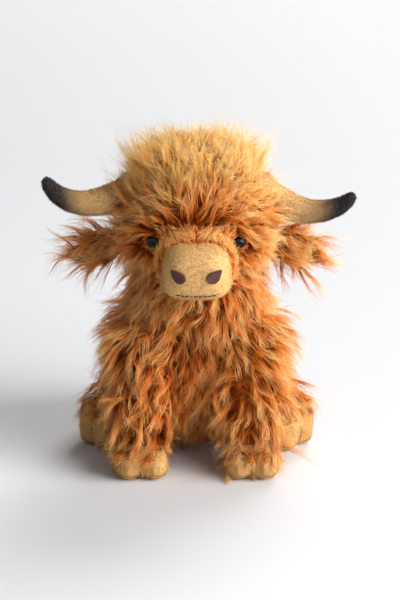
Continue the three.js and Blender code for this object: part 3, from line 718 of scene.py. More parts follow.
HAIR_BED = 4 * MM  # how far the roots lie inside the CAD surface
CROWN_BED = 10 * MM
STUFFING_BED = 5.5 * MM
HORN_WALL = 1.2 * MM
HEAD_BRIDGE = 8 * MM
SKIN_VOXEL = 4 * MM
EAR_VOXEL = 2 * MM
STUFFING_VOXEL = 3 * MM
PLUSH_VOXEL = 1.6 * MM
HOOF_VOXEL = 3 * MM
HOOF_SLACK = 1 * MM  # a hoof is this much smaller before it is stuffed
HOOF_CUFF = 8 * MM  # its top, sewn to the leg
HOOF_SOLE = 1 * MM  # its foot, held flat
SWELL_PRESSURE = 40
SWELL_FRAMES = 20
SWELL_CAP = 3 * MM


def hide(name, body, node, *inside, voxel=SKIN_VOXEL, shrink=HAIR_BED, bridge=0.0):
    """The cloth under the fur: a closed skin round the pelt and what it is stuffed with."""
    piece = soft_form(name, (node, *inside), voxel, rounds=6, shrink=shrink, bridge=bridge)
    return dressed(piece, body, HIDE, node)


def stuffing(name, body, material, node, shrink=STUFFING_BED):
    piece = soft_form(name, (node,), STUFFING_VOXEL, rounds=5, shrink=shrink)
    dressed(piece, body, material, node)


def plush(name, body, material, node, rounds=12):
    piece = soft_form(name, (node,), PLUSH_VOXEL, rounds)
    return dressed(piece, body, material, node)


def stuffed(piece, held):
    """Swells a sewn form from inside in a cloth simulation: held points stay, and no point moves far."""
    name = piece.name
    before = points_of(piece)
    group = piece.vertex_groups.new(name="held")
    group.add(np.flatnonzero(held).tolist(), 1.0, "REPLACE")
    cloth = piece.modifiers.new("stuffing", "CLOTH").settings
    cloth.use_pressure = True
    cloth.uniform_pressure_force = SWELL_PRESSURE
    cloth.effector_weights.gravity = 0
    cloth.vertex_group_mass = group.name
    for number in range(1, SWELL_FRAMES + 1):
        bpy.context.scene.frame_set(number)
    shaped = new_object(name, applied(piece))
    bpy.context.scene.frame_set(1)
    moved = points_of(shaped) - before
    size = np.linalg.norm(moved, axis=1, keepdims=True)
    after = before + moved * np.minimum(1, SWELL_CAP / np.maximum(size, TINY))
    after[:, 2] = np.maximum(after[:, 2], before[:, 2].min())
    move_points(shaped, after)
    shaped.vertex_groups.clear()
    modify(shaped, "SUBSURF", levels=1)
    return new_object(name, smooth_shaded(applied(shaped)))


def hoof_form(leg, side):
    """A hoof of plush, stuffed tight: sewn to the leg at its top and along its cleft, and flat below."""
    node = f"{leg}_hoof_{side}"
    piece = soft_form(f"{leg}_hoof_form_{side}", (node,), HOOF_VOXEL, rounds=8, shrink=HOOF_SLACK)
    points = points_of(piece)
    level = points[:, 2]
    threads = points_of(frame["nodes"][f"{leg}_toe_stitch_{side}"])
    gap = np.array([np.linalg.norm(threads - point, axis=1).min() for point in points])
    held = (gap < HOOF_VOXEL) | (level > level.max() - HOOF_CUFF) | (level < level.min() + HOOF_SOLE)
    piece = stuffed(piece, held)
    points = points_of(piece)
    level = points[:, 2]
    points[:, 2] = np.interp(level, (level.min(), level.max()), heights(node))
    move_points(piece, points)
    return dressed(piece, f"{leg}_{side}", HOOF_PLUSH, node)


def sunk_crown(piece):
    """The top of the head lies deeper, so that the standing hair of the crown begins lower."""
    points = points_of(piece)
    depth = (CROWN_BED - HAIR_BED) * smoothstep(points[:, 2], *heights("crown_tuft"))
    move_points(piece, points - depth[:, None] * UP)


body_hide = hide("body_hide", "torso", "body_pelt", "body_filling", "pellet_bag")
head_hide = hide("head_hide", "head", "head_pelt", "head_filling", "crown_tuft", bridge=HEAD_BRIDGE)
sunk_crown(head_hide)
tail_hide = hide("tail_hide", "tail", "tail_cord", shrink=1 * MM)
tuft_hide = hide("tail_tuft_hide", "tail", "tail_tuft", shrink=2 * MM)
leg_hides = {}
ear_hides = {}
for side in SIDES:
    ear_pelt = f"ear_pelt_{side}"
    ear_hides[side] = hide(f"ear_hide_{side}", f"ear_{side}", ear_pelt, voxel=EAR_VOXEL, shrink=0.3 * MM)
    for leg in LEGS:
        pelt, filling = (f"{leg}_{part}_{side}" for part in ("pelt", "filling"))
        leg_hides[leg, side] = hide(f"{leg}_hide_{side}", f"{leg}_{side}", pelt, filling)

stuffing("body_stuffing", "torso", FIBRE, "body_filling")
stuffing("head_stuffing", "head", FIBRE, "head_filling")
stuffing("pellet_pouch", "torso", BAG, "pellet_bag")
for side in SIDES:
    stuffing(f"horn_stuffing_{side}", f"horn_{side}", FIBRE, f"horn_filling_{side}",
             shrink=HORN_WALL)
    for leg in LEGS:
        stuffing(f"{leg}_stuffing_{side}", f"{leg}_{side}", FIBRE, f"{leg}_filling_{side}")


# Muzzle: a boxy cushion with a lower lip, sewn to the nose bridge

SNOUT_SLOPE = math.radians(8)
ONWARD = np.array((0.0, -math.cos(SNOUT_SLOPE), -math.sin(SNOUT_SLOPE)))
NOSE_UP = np.array((0.0, -math.sin(SNOUT_SLOPE), math.cos(SNOUT_SLOPE)))
MUZZLE_LOW, MUZZLE_HIGH = corners("muzzle_skin")
MUZZLE_HALF = (MUZZLE_HIGH - MUZZLE_LOW) / 2
SEAM = np.array((0.0, MUZZLE_HIGH[1] - MUZZLE_HALF[2] * math.sin(SNOUT_SLOPE),
                 MUZZLE_HIGH[2] - MUZZLE_HALF[2] * math.cos(SNOUT_SLOPE)))
MUZZLE_LENGTH = (SEAM[1] - MUZZLE_LOW[1]) / math.cos(SNOUT_SLOPE)
MUZZLE_CUTS = 44
MUZZLE_TAPER = 0.04
BOXINESS = 3.2  # 2 is an egg
BEHIND_SEAM = 5 * MM
MOUTH_DROP = np.dot(SEAM - middle("mouth_stitch"), NOSE_UP)
MOUTH_HALF = (corners("mouth_stitch")[1] - middle("mouth_stitch"))[0]
MOUTH_RAISE = 3 * MM  # above the CAD stitch
MOUTH_CURVE = 0.8 * MM
GROOVE_DEPTH = 1.1 * MM
GROOVE_END = 4 * MM
LIP_BACK = 2.6 * MM
LIP_NARROWING = 0.06
FOLD_PLACE = 12 * MM  # from the middle
FOLD_DEPTH = 0.6 * MM


def cube_grid(name, cuts):
    """A cube cut into a grid, whose points are then set by the caller."""
    grid = bmesh.new()
    bmesh.ops.create_cube(grid, size=2)
    bmesh.ops.subdivide_edges(grid, edges=grid.edges[:], cuts=cuts, use_grid_fill=True)
    mesh = bpy.data.meshes.new(name)
    grid.to_mesh(mesh)
    grid.free()
    return mesh


def mouth_height(across):
    """The mouth line, a little higher at its ends."""
    return -MOUTH_DROP + MOUTH_RAISE + MOUTH_CURVE * (across / MOUTH_HALF) ** 2


def muzzle_form():
    mesh = cube_grid("muzzle_form", MUZZLE_CUTS)
    mesh.flip_normals()  # because the muzzle's axes are a mirror image of the cube's
    piece = new_object("muzzle_form", smooth_shaded(mesh))
    way = unit(np.tan(points_of(piece) * math.pi / 4))
    half = np.array((MUZZLE_HALF[0], MUZZLE_LENGTH, MUZZLE_HALF[2]))
    spots = way / (np.sum(np.abs(way / half) ** BOXINESS, axis=1) ** (1 / BOXINESS))[:, None]
    across, onward, height = spots.T.copy()
    onward = np.maximum(onward, -BEHIND_SEAM)
    front = smoothstep(onward, 0.45 * MUZZLE_LENGTH, 0.8 * MUZZLE_LENGTH)
    across *= 1 - MUZZLE_TAPER * (1 + height / MUZZLE_HALF[2])
    under_lip = smoothstep(mouth_height(across) - height, 0, 2 * MM) * front
    onward -= LIP_BACK * under_lip
    across *= 1 - LIP_NARROWING * under_lip
    groove = ridge(height - mouth_height(across), width=0.9 * MM) * front
    onward -= GROOVE_DEPTH * groove * smoothstep(MOUTH_HALF + GROOVE_END - np.abs(across), 0, GROOVE_END)
    fold = ridge(np.abs(across) - FOLD_PLACE, width=0.8 * MM) * front
    below_nostril = smoothstep(height, -4 * MM, -7 * MM) * smoothstep(height, -14 * MM, -11 * MM)
    onward -= FOLD_DEPTH * fold * below_nostril
    move_points(piece, SEAM + across[:, None] * ACROSS + onward[:, None] * ONWARD + height[:, None] * NOSE_UP)
    return dressed(piece, "head", PLUSH, "muzzle_skin")


muzzle = muzzle_form()
muzzle_tree = tree_of(muzzle)
nose = plush("nose_bridge_form", "head", HIDE, "nose_bridge")
hooves = {}
linings = {}
for side in SIDES:
    horn_paint = horn_material(f"horn_plush_{side}", pivot(f"horn_{side}_flex"))
    horn = plush(f"horn_form_{side}", f"horn_{side}", horn_paint, f"horn_skin_{side}")
    nap(horn, f"horn_{side}", horn_paint, count=9000, length=1.3 * MM)
    ear = f"ear_{side}"
    linings[side] = plush(f"ear_lining_form_{side}", ear, LINING, f"ear_lining_{side}", rounds=4)
    nap(linings[side], ear, LINING, count=1200, length=1.3 * MM)
    for leg in LEGS:
        hooves[leg, side] = hoof_form(leg, side)
        nap(hooves[leg, side], f"{leg}_{side}", HOOF_PLUSH, count=7000, length=1.2 * MM)
nap(muzzle, "head", PLUSH, count=13000, length=1.0 * MM)


# Embroidery

NOSTRIL_ROUND = np.array((12.4, 4.6)) * MM  # middle of the round end: outwards and up on the nose
NOSTRIL_TIP = np.array((18.8, 9.8)) * MM
NOSTRIL_RADIUS = 4.9 * MM
NOSTRIL_POINT = 0.8  # below 1, its sides are full towards the tip
SATIN_APART = 0.55 * MM
SATIN_POINTS = 7
SATIN_RADIUS = 0.42 * MM
SATIN_RISE = 1.5 * MM
SATIN_ARCH = 0.5 * MM
STITCH_SPAN = (0.06, 0.9)  # where a stitch begins and ends on its share of the line
STITCH_SHAPE = (0.6, 1.0, 1.0, 1.0, 0.6)  # its radius along it
MOUTH_POINTS = 40
NOSE_RAY = 0.1  # rays begin this far outside
TOE_RAY = 0.06
SOLE_RAY = 0.08
TOE_POINTS = 24
TOE_FOOT = 1 * MM
SOLE_POINTS = 70
SOLE_ANGLE = 1.2  # to either side of the front
SOLE_RISE = 5 * MM


def on_nose(across, height, rise):
    """The point of the muzzle's surface straight behind a spot of its front, lifted by so much."""
    start = SEAM + across * ACROSS + height * NOSE_UP + NOSE_RAY * ONWARD
    return surface_spot(muzzle_tree, start, -ONWARD, rise)


def threads(name, paths, radii):
    """Separate threads, each with its own tint."""
    paths = np.array(paths)
    radii = np.broadcast_to(radii, paths.shape[:2])
    return new_object(name, mesh_of_strands(name, paths, radii, RNG.random(len(paths))))


def satin_nostril(side):
    """A teardrop filled with satin stitch, pointed at its upper outer corner."""
    axis = NOSTRIL_TIP - NOSTRIL_ROUND
    reach = np.linalg.norm(axis)
    axis = axis / reach
    cross = np.array((-axis[1], axis[0]))
    touch = NOSTRIL_RADIUS ** 2 / reach
    widest = NOSTRIL_RADIUS * math.sqrt(1 - (NOSTRIL_RADIUS / reach) ** 2)
    paths = []
    for along in np.arange(-NOSTRIL_RADIUS + SATIN_APART, reach - SATIN_APART, SATIN_APART):
        if along < touch:
            half = math.sqrt(max(NOSTRIL_RADIUS ** 2 - along ** 2, 0))
        else:
            half = widest * ((reach - along) / (reach - touch)) ** NOSTRIL_POINT
        stitch = []
        for share in np.linspace(-1, 1, SATIN_POINTS):
            spot = NOSTRIL_ROUND + along * axis + share * half * cross
            stitch.append(on_nose(SIDES[side] * spot[0], spot[1], SATIN_RISE - SATIN_ARCH * share ** 2))
        paths.append(stitch)
    piece = threads(f"nostril_satin_{side}", paths, SATIN_RADIUS)
    dressed(piece, "head", NOSTRIL_THREAD, f"nostril_{side}")


def stitched_line(name, spots, stitch, radius):
    """Separate stitches along a line of points, thinner at their ends; a point may be missing."""
    spots = np.array([spot for spot in spots if spot is not None])
    gone = np.append(0, np.cumsum(np.linalg.norm(np.diff(spots, axis=0), axis=1)))
    count = int(gone[-1] / stitch)
    start, end = STITCH_SPAN
    paths = []
    for k in range(count):
        places = np.linspace(k + start, k + end, len(STITCH_SHAPE)) * gone[-1] / count
        paths.append(np.stack([np.interp(places, gone, spots[:, axis]) for axis in range(3)], axis=1))
    return threads(name, paths, radius * np.array(STITCH_SHAPE))


def mouth():
    places = np.linspace(-MOUTH_HALF, MOUTH_HALF, MOUTH_POINTS)
    spots = [on_nose(across, mouth_height(across), 0.8 * MM) for across in places]
    piece = stitched_line("mouth_line", spots, stitch=3.2 * MM, radius=0.5 * MM)
    dressed(piece, "head", BLACK_THREAD, "mouth_stitch")


def hoof_front(leg, side):
    """The level way from the leg's joint to the toes."""
    return unit((middle(f"{leg}_hoof_{side}") - pivot(f"{leg}_{side}_{LEGS[leg]}")) * LEVEL)


def hoof_seam(name, limb, rays, rise, stitch, radius, node=None):
    """Stitches where rays from outside, each with its start and its way, meet a hoof."""
    tree = tree_of(hooves[limb])
    spots = [surface_spot(tree, start, way, rise) for start, way in rays]
    dressed(stitched_line(name, spots, stitch, radius), "_".join(limb), TAN_THREAD, node)


def toe_seam(leg, side):
    """The stitched fold of a hoof, in the lower half of its cleft."""
    node = f"{leg}_toe_stitch_{side}"
    cleft = middle(node)
    out = hoof_front(leg, side)
    levels = np.linspace(cleft[2], heights(node)[0] + TOE_FOOT, TOE_POINTS)
    rays = [(cleft * LEVEL + level * UP + out * TOE_RAY, -out) for level in levels]
    hoof_seam(f"{leg}_cleft_{side}", (leg, side), rays, rise=0.3 * MM, stitch=2.6 * MM, radius=0.45 * MM,
              node=node)


def sole_seam(leg, side):
    """The stitched edge of the sole, round the front of both toes."""
    out = hoof_front(leg, side)
    node = f"{leg}_hoof_{side}"
    centre = middle(node) * LEVEL + (heights(node)[0] + SOLE_RISE) * UP
    rays = []
    for angle in np.linspace(-SOLE_ANGLE, SOLE_ANGLE, SOLE_POINTS):
        way = math.cos(angle) * out + math.sin(angle) * np.cross(out, UP)
        rays.append((centre + SOLE_RAY * way, -way))
    hoof_seam(f"{leg}_sole_seam_{side}", (leg, side), rays, rise=0.2 * MM, stitch=2.4 * MM, radius=0.35 * MM)


for side in SIDES:
    satin_nostril(side)
mouth()
for limb in LIMBS:
    toe_seam(*limb)
    sole_seam(*limb)


# Eyes: a moulded dome with a stem

EYE_TURN = math.radians(24)
EYE_STEPS = 32
EYE_RINGS = 12
EYE_POLE = 0.04  # angle of the first ring from the middle of the dome
EYE_FULLER = 1.12  # the gloss rounds it out
EYE_BULGE = 0.82  # height of the dome, as a share of its radius
EYE_BACK = 0.96  # radius of the dome's back, as a share
EYE_EDGE = 0.4 * MM
EYE_PLATE = 0.5 * MM
EYE_TO_STEM = 3  # how many times as wide as its stem


def ring_faces(rings, last):
    """Faces over rings of points, with a point before the first ring and a last one behind them."""
    starts = [1 + row * EYE_STEPS for row in range(rings)]
    faces = []
    for k in range(EYE_STEPS):
        after = (k + 1) % EYE_STEPS
        faces.append((0, starts[0] + after, starts[0] + k))
        faces.append((last, starts[-1] + k, starts[-1] + after))
        faces.extend((low + k, low + after, high + after, high + k) for low, high in zip(starts, starts[1:]))
    return faces


def eye(side):
    points = points_of(frame["nodes"][f"eye_{side}"])
    look = np.array((SIDES[side] * math.sin(EYE_TURN), -math.cos(EYE_TURN), 0.0))
    aside = np.cross(look, UP)
    depth = points @ look
    width = points @ aside
    radius = EYE_FULLER * np.ptp(points[:, 2]) / 2
    stem = radius / EYE_TO_STEM
    bulge = EYE_BULGE * radius
    centre = middle(f"eye_{side}")
    seat = centre + look * (depth.max() - bulge - centre @ look)
    seat = seat + aside * (width.max() + width.min()) / 2 - aside * (seat @ aside)
    back = depth.min() - seat @ look
    angles = np.linspace(EYE_POLE, math.pi / 2, EYE_RINGS)
    dome = [(radius * math.sin(angle), bulge * math.cos(angle)) for angle in angles]
    profile = [*dome, (radius * EYE_BACK, -EYE_EDGE), (stem, -EYE_PLATE), (stem, back)]
    turns = np.arange(EYE_STEPS) / EYE_STEPS
    circle = np.cos(TURN * turns)[:, None] * aside + np.sin(TURN * turns)[:, None] * UP
    rings = [seat + look * height + reach * circle for reach, height in profile]
    places = np.vstack([seat + look * bulge, *rings, seat + look * back])
    shares = [reach / radius if height >= 0 else 1.0 for reach, height in profile]
    chart_rows = [(0.0, 0.0), *((turn, share) for share in shares for turn in turns), (0.0, 1.0)]
    mesh = bpy.data.meshes.new(f"eye_dome_{side}")
    mesh.from_pydata(places.tolist(), [], ring_faces(len(profile), len(places) - 1))
    layer = mesh.uv_layers.new(name="OFBake")
    for loop in mesh.loops:
        layer.uv[loop.index].vector = chart_rows[loop.vertex_index]
    piece = new_object(f"eye_dome_{side}", smooth_shaded(mesh))
    dressed(piece, "head", EYE, f"eye_{side}")


for side in SIDES:
    eye(side)
    washer = frame["nodes"][f"eye_washer_{side}"].data
    washer.materials.clear()
    washer.materials.append(WASHER)


# Fur of the coat, one over body and legs, so that no limb shows as a sleeve

BODIES = {"torso": body_hide, **{f"{leg}_{side}": leg_hides[leg, side] for leg, side in LIMBS}}
COAT_TREE = tree_of(*BODIES.values(), *hooves.values())
COAT_ROOTS = 52000
COAT_ROUNDS = 16
COAT_BRIDGE = 12 * MM
COAT_SWIRL = 45 * MM
COAT_LIFT = 0.55
LEAST_LIFT = 0.15
COLLAR_ROOTS = 2400
COLLAR = {"foreleg": 8 * MM, "hindleg": 10 * MM}  # how far the fur laps over a hoof
LAP_LENGTH = 0.36  # of the hair there, as a share
HOOF_NEAR = {"foreleg": 20 * MM, "hindleg": 30 * MM}
FLOOR_LENGTH = 0.75  # of hair near the floor
LONGER = {"foreleg": 0.5, "hindleg": 0.05, "between": -0.35, "tail": -0.7}  # shares, for hair near these
LOWER = {"foreleg": 0.25, "hindleg": 0.3, "between": 0.0, "tail": 0.3}
SOLE_FACING = -0.4
SOLE_HEIGHT = 18 * MM
LOWEST_ROOT = 4 * MM


def near(points, pieces, close, far):
    """1 for points close to some pieces, and 0 for points far from them."""
    return 1 - smoothstep(gap_to(points, *pieces), close, far)


def weighted(weights, shares):
    return sum(weights[key] * share for key, share in shares.items())


def nearest_body(roots):
    """The name of the body whose skin is nearest to each root."""
    gaps = [gap_to(roots, skin) for skin in BODIES.values()]
    return np.array(list(BODIES))[np.argmin(gaps, axis=0)]


def hoof_collar(leg, side):
    """Roots on the top of a hoof, where the pelt laps over it."""
    roots, normals = scatter(hooves[leg, side], COLLAR_ROOTS)
    return chosen((roots, normals), roots[:, 2] > heights(f"{leg}_hoof_{side}")[1] - COLLAR[leg])


def coat_roots():
    """Roots all over one skin round body and legs, and on the tops of the hooves."""
    pelts = ["body_pelt", *(f"{leg}_pelt_{side}" for leg, side in LIMBS)]
    coat = soft_form("coat", pelts, SKIN_VOXEL, COAT_ROUNDS, HAIR_BED, COAT_BRIDGE)
    spots = [scatter(coat, COAT_ROOTS), *(hoof_collar(*limb) for limb in LIMBS)]
    roots, normals = settled(*joined(*spots), COAT_TREE)
    bpy.data.objects.remove(coat)
    height = roots[:, 2]
    sole = (normals[:, 2] < SOLE_FACING) & (height < SOLE_HEIGHT)
    free = open_air(roots, normals, [head_hide], room=6 * MM) & ~sole & (height > LOWEST_ROOT)
    return chosen((roots, normals), free)


def coat_fur():
    """Hair combed down and out, trimmed between the legs and round the tail, on the skin next to it."""
    roots, normals = coat_roots()
    height = roots[:, 2]
    outward = unit((roots - middle("body_pelt")) * LEVEL)
    nearby = {}
    for leg in LEGS:
        nearby[leg] = near(roots, [hooves[leg, side] for side in SIDES], close=5 * MM, far=HOOF_NEAR[leg])
    on_left = roots[:, :1] * SIDES["left"] > 0
    hind_hoof = np.where(on_left, middle("hindleg_hoof_left"), middle("hindleg_hoof_right"))
    flow = DOWN + 0.5 * outward + 0.7 * ripples(roots, COAT_SWIRL)
    flow = flow + 1.5 * nearby["hindleg"][:, None] * unit(hind_hoof - roots)
    length = random_lengths(len(roots), least=27, most=41)
    length = length * (FLOOR_LENGTH + (1 - FLOOR_LENGTH) * smoothstep(height, 10 * MM, 50 * MM))
    between = 1 - smoothstep(np.abs(roots[:, 0]), 20 * MM, 32 * MM)
    nearby["between"] = between * (1 - smoothstep(height, 35 * MM, 60 * MM))
    tips = roots + length[:, None] * unit(along_surface(flow, normals))
    tail = (tail_hide, tuft_hide)
    nearby["tail"] = np.maximum(*(near(ends, tail, close=6 * MM, far=18 * MM) for ends in (roots, tips)))
    lap = gap_to(roots, *hooves.values()) < 1 * MM
    length = length * (1 + weighted(LONGER, nearby)) * np.where(lap, LAP_LENGTH, 1)
    lift = np.maximum(COAT_LIFT - weighted(LOWER, nearby), LEAST_LIFT)
    fall = np.where(lap, 0.8, 0.25)
    strands = grow_fur(roots, normals, flow, length, COAT_TREE, lift=lift, fall=fall, density=14)
    owner = nearest_body(roots)
    for body in BODIES:
        name = "body_fur" if body == "torso" else body.replace("leg_", "leg_fur_")
        fur_pieces(name, body, chosen(strands, owner == body), FUR)


# Fur of the head: combed away from the nose, clipped between the eyes, and a tall crown, paler partly by its
# own tone and partly by painted light for the back light shining through it

EYES = [middle(f"eye_{side}") for side in SIDES]
EYE_BARE = 7.6 * MM  # free of long hair round an eye
EYE_RIM = 6.8 * MM  # free of short pile
EYE_OPEN = 5.2 * MM  # no hair hangs before this much of an eye
GAZE = unit(np.array((0, -1.0, 0.2)))
NOSE_TIP = middle("muzzle_skin")
HEAD_TREE = tree_of(head_hide, nose, muzzle, body_hide)
HEAD_MIDDLE = middle("head_pelt")[1]
HEAD_ROOTS = 38000
HEAD_STIR = 0.35
HEAD_SWIRL = 40 * MM
SHORTEST = 4 * MM
FACE_FRONT = HEAD_MIDDLE - 20 * MM
BEHIND_FALL = 1.4
CHEEK_FALL = 0.7
TEMPLE_LONGER = 0.35
BROW = EYES[0][2] + 15 * MM  # top of the clipped part of the face
CLIPPED_HALF = 29 * MM
CROWN_FOOT = BROW + 4 * MM  # where the pale hair of the crown begins, and where it has taken over
CROWN_FULL = BROW + 32 * MM
CROWN_THINNING = 0.75  # at its back
CROWN_HALF = np.array((50, 46)) * MM
CROWN_LEAST = 6 * MM
CROWN_SHORTER = 0.25  # on its top
FAN = np.array((0, HEAD_MIDDLE - 50 * MM, BROW))  # its hair spreads from here
CEILING = CAD_BOX[1][2] + 9 * MM  # its locks end below
CEILING_DROP = 16 * MM  # towards its edge
CEILING_WANDER = 7 * MM
CEILING_SWIRL = 38 * MM
CEILING_ROOM = (0.5, 0.85)  # how much of the room below a lock takes
LEAST_ROOM = 7 * MM
WISP_SHARE = 0.26
WISP_RISE = 9 * MM  # wisps have their own ceiling
WISP_DROP = 6 * MM
TOP_LIFT = 0.2


def eye_gaps(points):
    return [np.linalg.norm(points - eye_at, axis=1) for eye_at in EYES]


def from_eyes(points):
    return np.min(eye_gaps(points), axis=0)


def short_of_eyes(roots, comb, length):
    """Hair that would lie over an eye ends before it."""
    for eye_at in EYES:
        ahead = np.sum((eye_at - roots) * comb, axis=1)
        aside = np.linalg.norm(eye_at - roots - ahead[:, None] * comb, axis=1)
        meets = (ahead > 0) & (aside < EYE_BARE)
        length = np.where(meets, np.minimum(length, np.maximum(ahead - EYE_BARE, SHORTEST)), length)
    return length


def clear_of_eyes(strands):
    """The strands that don't hang before an eye."""
    paths = strands[0]
    free = np.ones(len(paths), bool)
    for eye_at in EYES:
        way = paths - eye_at
        ahead = way @ GAZE
        aside = np.linalg.norm(way - ahead[:, :, None] * GAZE, axis=2)
        free &= ~np.any((ahead > 0) & (aside < EYE_OPEN), axis=1)
    return chosen(strands, free)


def clipped(points):
    """Where the face is clipped short: round the eyes, and between them above the muzzle."""
    front = points[:, 1] < FACE_FRONT
    bridge = front & (np.abs(points[:, 0]) < CLIPPED_HALF) & (points[:, 2] < BROW)
    return bridge | (from_eyes(points) < EYE_BARE)


def head_flow(roots):
    """The hair is combed away from the nose: up over the forehead, out over the cheeks, and down behind."""
    behind = smoothstep(roots[:, 1], HEAD_MIDDLE - 5 * MM, HEAD_MIDDLE + 40 * MM)
    low = 1 - smoothstep(roots[:, 2], BROW - 30 * MM, BROW)
    weight = np.maximum(behind * BEHIND_FALL, low * CHEEK_FALL)[:, None]
    return unit(roots - NOSE_TIP) + weight * DOWN + HEAD_STIR * ripples(roots, HEAD_SWIRL)


def head_fur():
    roots, normals = scatter(head_hide, HEAD_ROOTS)
    keep = ~clipped(roots) & open_air(roots, normals, [body_hide, nose, muzzle], room=5 * MM)
    roots, normals = chosen((roots, normals), keep)
    flow = head_flow(roots)
    comb = unit(along_surface(flow, normals))
    back = smoothstep(roots[:, 1], HEAD_MIDDLE + 5 * MM, HEAD_MIDDLE + 45 * MM)
    pale = smoothstep(roots[:, 2], CROWN_FOOT, CROWN_FULL) * (1 - CROWN_THINNING * back)
    crown = RNG.random(len(roots)) < pale
    temple = smoothstep(np.abs(roots[:, 0]), 35 * MM, 52 * MM)
    length = random_lengths(len(roots), least=22, most=32) * (1 + TEMPLE_LONGER * temple)
    length = short_of_eyes(roots, comb, length)
    sides = grow_fur(*chosen((roots, normals, flow, length), ~crown), HEAD_TREE, lift=0.42, wild=2.0)
    fur_pieces("head_fur", "head", clear_of_eyes(sides), FUR)
    crown_fur(roots, normals, crown)


def crown_fur(roots, normals, crown):
    """A tousled mop that fans out between the horns under a wandering ceiling, with longer wisps above it."""
    count = len(roots)
    height = roots[:, 2]
    top = smoothstep(normals[:, 2], 0.2, 0.9)
    edge = np.sum(((roots - middle("crown_tuft"))[:, :2] / CROWN_HALF) ** 2, axis=1)
    wander = CEILING_WANDER * ripples(roots, CEILING_SWIRL)[:, 0]
    ceiling = CEILING + wander - CEILING_DROP * edge
    room = np.maximum((ceiling - height) * RNG.uniform(*CEILING_ROOM, count), LEAST_ROOM)
    tall = random_lengths(count, least=24, most=38) * (1 - CROWN_SHORTER * top)
    tall = np.clip(tall, CROWN_LEAST, room)
    fan = unit(roots - FAN) + HEAD_STIR * ripples(roots, HEAD_SWIRL)
    fan = fan + smoothstep(roots[:, 1], HEAD_MIDDLE, 0)[:, None] * DOWN
    lift = 0.28 + TOP_LIFT * top[crown]
    mop = grow_fur(*chosen((roots, normals, fan, tall), crown), HEAD_TREE, lift=lift, fall=-0.2, density=13,
                   hook=0.6, toss=0.45, untidy=1.8 * MM, wild=2.5, radius=0.15 * MM)
    wisp = crown & (RNG.random(count) < WISP_SHARE)
    open_top = CEILING + WISP_RISE + wander - WISP_DROP * edge
    far = np.minimum(open_top - height, random_lengths(count, least=38, most=58))
    lift = 0.35 + TOP_LIFT * top[wisp]
    wisps = grow_fur(*chosen((roots, normals, fan, far), wisp), HEAD_TREE, lift=lift, fall=-0.25, density=5,
                     toss=0.5, clump=0.55, untidy=2.5 * MM, wild=1.5, radius=0.12 * MM)
    fur_pieces("crown_fur", "head", joined(mop, wisps), CROWN_FUR, node="crown_tuft")


def short_pile():
    """The clipped face: soft short hair, combed up, out to the sides and away from the eyes."""
    face = scatter(head_hide, count=40000)
    face = chosen(face, clipped(face[0]))
    roots, normals = joined(scatter(nose, count=8000), face)
    free = open_air(roots, normals, [muzzle], room=3 * MM) & (from_eyes(roots) > EYE_RIM)
    roots, normals = chosen((roots, normals), free)
    from_eye = unit(roots - np.array(EYES)[np.argmin(eye_gaps(roots), axis=0)])
    beside = 1 - smoothstep(from_eyes(roots), EYE_BARE, 2 * EYE_BARE)
    flow = UP + 0.6 * np.sign(roots) * ACROSS + 0.5 * ripples(roots, 20 * MM)
    flow = flow + 2 * beside[:, None] * from_eye
    length = random_lengths(len(roots), least=5, most=8.5) * (1 - 0.5 * beside)
    strands = grow_fur(roots, normals, flow, length, HEAD_TREE, lift=0.8, fall=0.1, density=4, wave=0.5 * MM,
                       clump=0.12, clear=2 * MM, untidy=0.6 * MM, wild=1.2, radius=0.15 * MM, points=5)
    fur_pieces("nose_pile", "head", strands, SHORT_FUR)


# Fur of ears and tail

SMALL_SWIRL = 20 * MM
EAR_WISP_SHARE = 0.3
EAR_FORWARD = -0.15
EAR_DOWN = -0.2


def ear_fur(side):
    """Long hair on the back of an ear and on the upper rim of its lining, swept out to the tip."""
    back, lining = ear_hides[side], linings[side]
    roots, normals = scatter(back, count=3200)
    keep = open_air(roots, normals, [lining], room=3 * MM)
    rim = scatter(lining, count=900)
    rim = chosen(rim, rim[0][:, 2] > middle(f"ear_lining_{side}")[2])
    roots, normals = joined(chosen((roots, normals), keep), rim)
    count = len(roots)
    flow = np.array((SIDES[side], EAR_FORWARD, EAR_DOWN)) + 0.7 * ripples(roots, SMALL_SWIRL)
    wisp = RNG.random(count) < EAR_WISP_SHARE
    far = random_lengths(count, least=26, most=40)
    length = np.where(wisp, far, random_lengths(count, least=9, most=18))
    tree = tree_of(back, lining)
    strands = grow_fur(roots, normals, flow, length, tree, fall=0.3, clear=2 * MM, untidy=2 * MM)
    fur_pieces(f"ear_fur_{side}", f"ear_{side}", strands, FUR)


def tail_fur():
    roots, normals = joined(scatter(tail_hide, count=700), scatter(tuft_hide, count=1600))
    flow = DOWN + 0.3 * ripples(roots, SMALL_SWIRL)
    length = random_lengths(len(roots), least=12, most=20)
    tree = tree_of(tail_hide, tuft_hide)
    strands = grow_fur(roots, normals, flow, length, tree, lift=0.4, clear=1 * MM, wave=1.5 * MM)
    fur_pieces("tail_fur", "tail", strands, FUR)


coat_fur()
head_fur()
short_pile()
for side in SIDES:
    ear_fur(side)
tail_fur()


# Floor, light and camera

FLOOR_REACH = 8.0
FLOOR_SHADE = (-0.4, 0.3)  # places across, from the dim side to the lit one
FLOOR_FAR = (1.0, 6.0)
SKY_LIGHT = 0.2
SKY_SEEN = 1.0  # plain white behind the toy and in its gloss
TARGET = (-0.001, -0.055, 0.1325)
ELEVATION = math.radians(17.5)
DISTANCE = 1.5
SPAN = 0.48  # height of the picture at the toy
SENSOR = 36
PICTURE_HEIGHT = 600
ASIDE = 5  # pixels that the toy stands left of the picture's middle


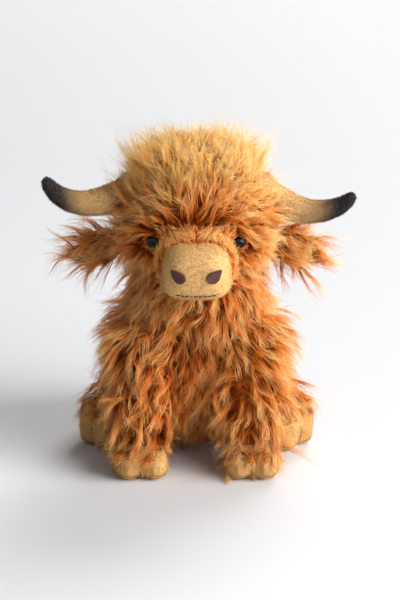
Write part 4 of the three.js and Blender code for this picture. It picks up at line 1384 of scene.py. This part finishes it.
def floor_material():
    """White paper with painted shade: greyer near the toy and towards its right, as if the light fell off
    there, and white far away.
    """
    material, tree, surface = new_material("floor", Roughness=0.95, Specular_IOR_Level=0.0)
    across = add_node(tree, "SeparateXYZ", {"Vector": position(tree)}).outputs["X"]
    # painted shade: the floor darkens towards the toy's right
    lit = remapped(tree, across, *FLOOR_SHADE)
    near_toy = ramp(tree, lit, (0.0, (212, 213, 215)), (1.0, (232, 232, 234)))
    reach = maths(tree, "LENGTH", position(tree), kind="VectorMath")
    paint(tree, surface, mixed(tree, remapped(tree, reach, *FLOOR_FAR), near_toy, srgb(250, 250, 250)))
    return material


def floor():
    mesh = bpy.data.meshes.new("floor")
    ends = ((-1, -1), (1, -1), (1, 1), (-1, 1))
    mesh.from_pydata([(FLOOR_REACH * x, FLOOR_REACH * y, 0) for x, y in ends], [], [(0, 1, 2, 3)])
    mesh.materials.append(floor_material())
    new_object("floor", mesh)


def placed(name, data, place):
    """A lamp or camera that looks at the toy."""
    holder = new_object(name, data)
    holder.location = place
    holder.rotation_euler = (Vector(TARGET) - holder.location).to_track_quat("-Z", "Y").to_euler()
    return holder


def lamp(name, kind, place, **settings):
    light = bpy.data.lights.new(name, kind)
    set_all(light, settings)
    placed(name, light, place)


def studio():
    """A world that lights the toy dimly, and shows white to the camera and in gloss."""
    world = bpy.data.worlds.new("studio")
    world.use_nodes = True
    tree = world.node_tree
    rays = add_node(tree, "LightPath").outputs
    mirrored = maths(tree, "MAXIMUM", rays["Is Glossy Ray"], rays["Is Transmission Ray"])
    seen = maths(tree, "MAXIMUM", rays["Is Camera Ray"], mirrored)
    background = tree.nodes["Background"].inputs
    background["Color"].default_value = srgb(*ALL)
    tree.links.new(remapped(tree, seen, 0.0, 1.0, SKY_LIGHT, SKY_SEEN), background["Strength"])
    return world


def viewer():
    camera = bpy.data.cameras.new("camera")
    camera.sensor_fit = "VERTICAL"
    camera.sensor_height = SENSOR
    camera.lens = SENSOR * DISTANCE / SPAN
    camera.shift_x = ASIDE / PICTURE_HEIGHT
    away = Vector((0, -math.cos(ELEVATION), math.sin(ELEVATION)))
    return placed("camera", camera, Vector(TARGET) + DISTANCE * away)


floor()
lamp("key", "SUN", (1.0, -0.4, 0.5), energy=5.0, angle=math.radians(45))
lamp("back", "SUN", (0.4, 0.8, 1.1), energy=1.8, angle=math.radians(30))
lamp("window", "AREA", (0.8, -1.0, 0.75), energy=5.5, size=0.35)
scene = bpy.context.scene
scene.view_settings.view_transform = "Standard"
scene.world = studio()
scene.camera = viewer()
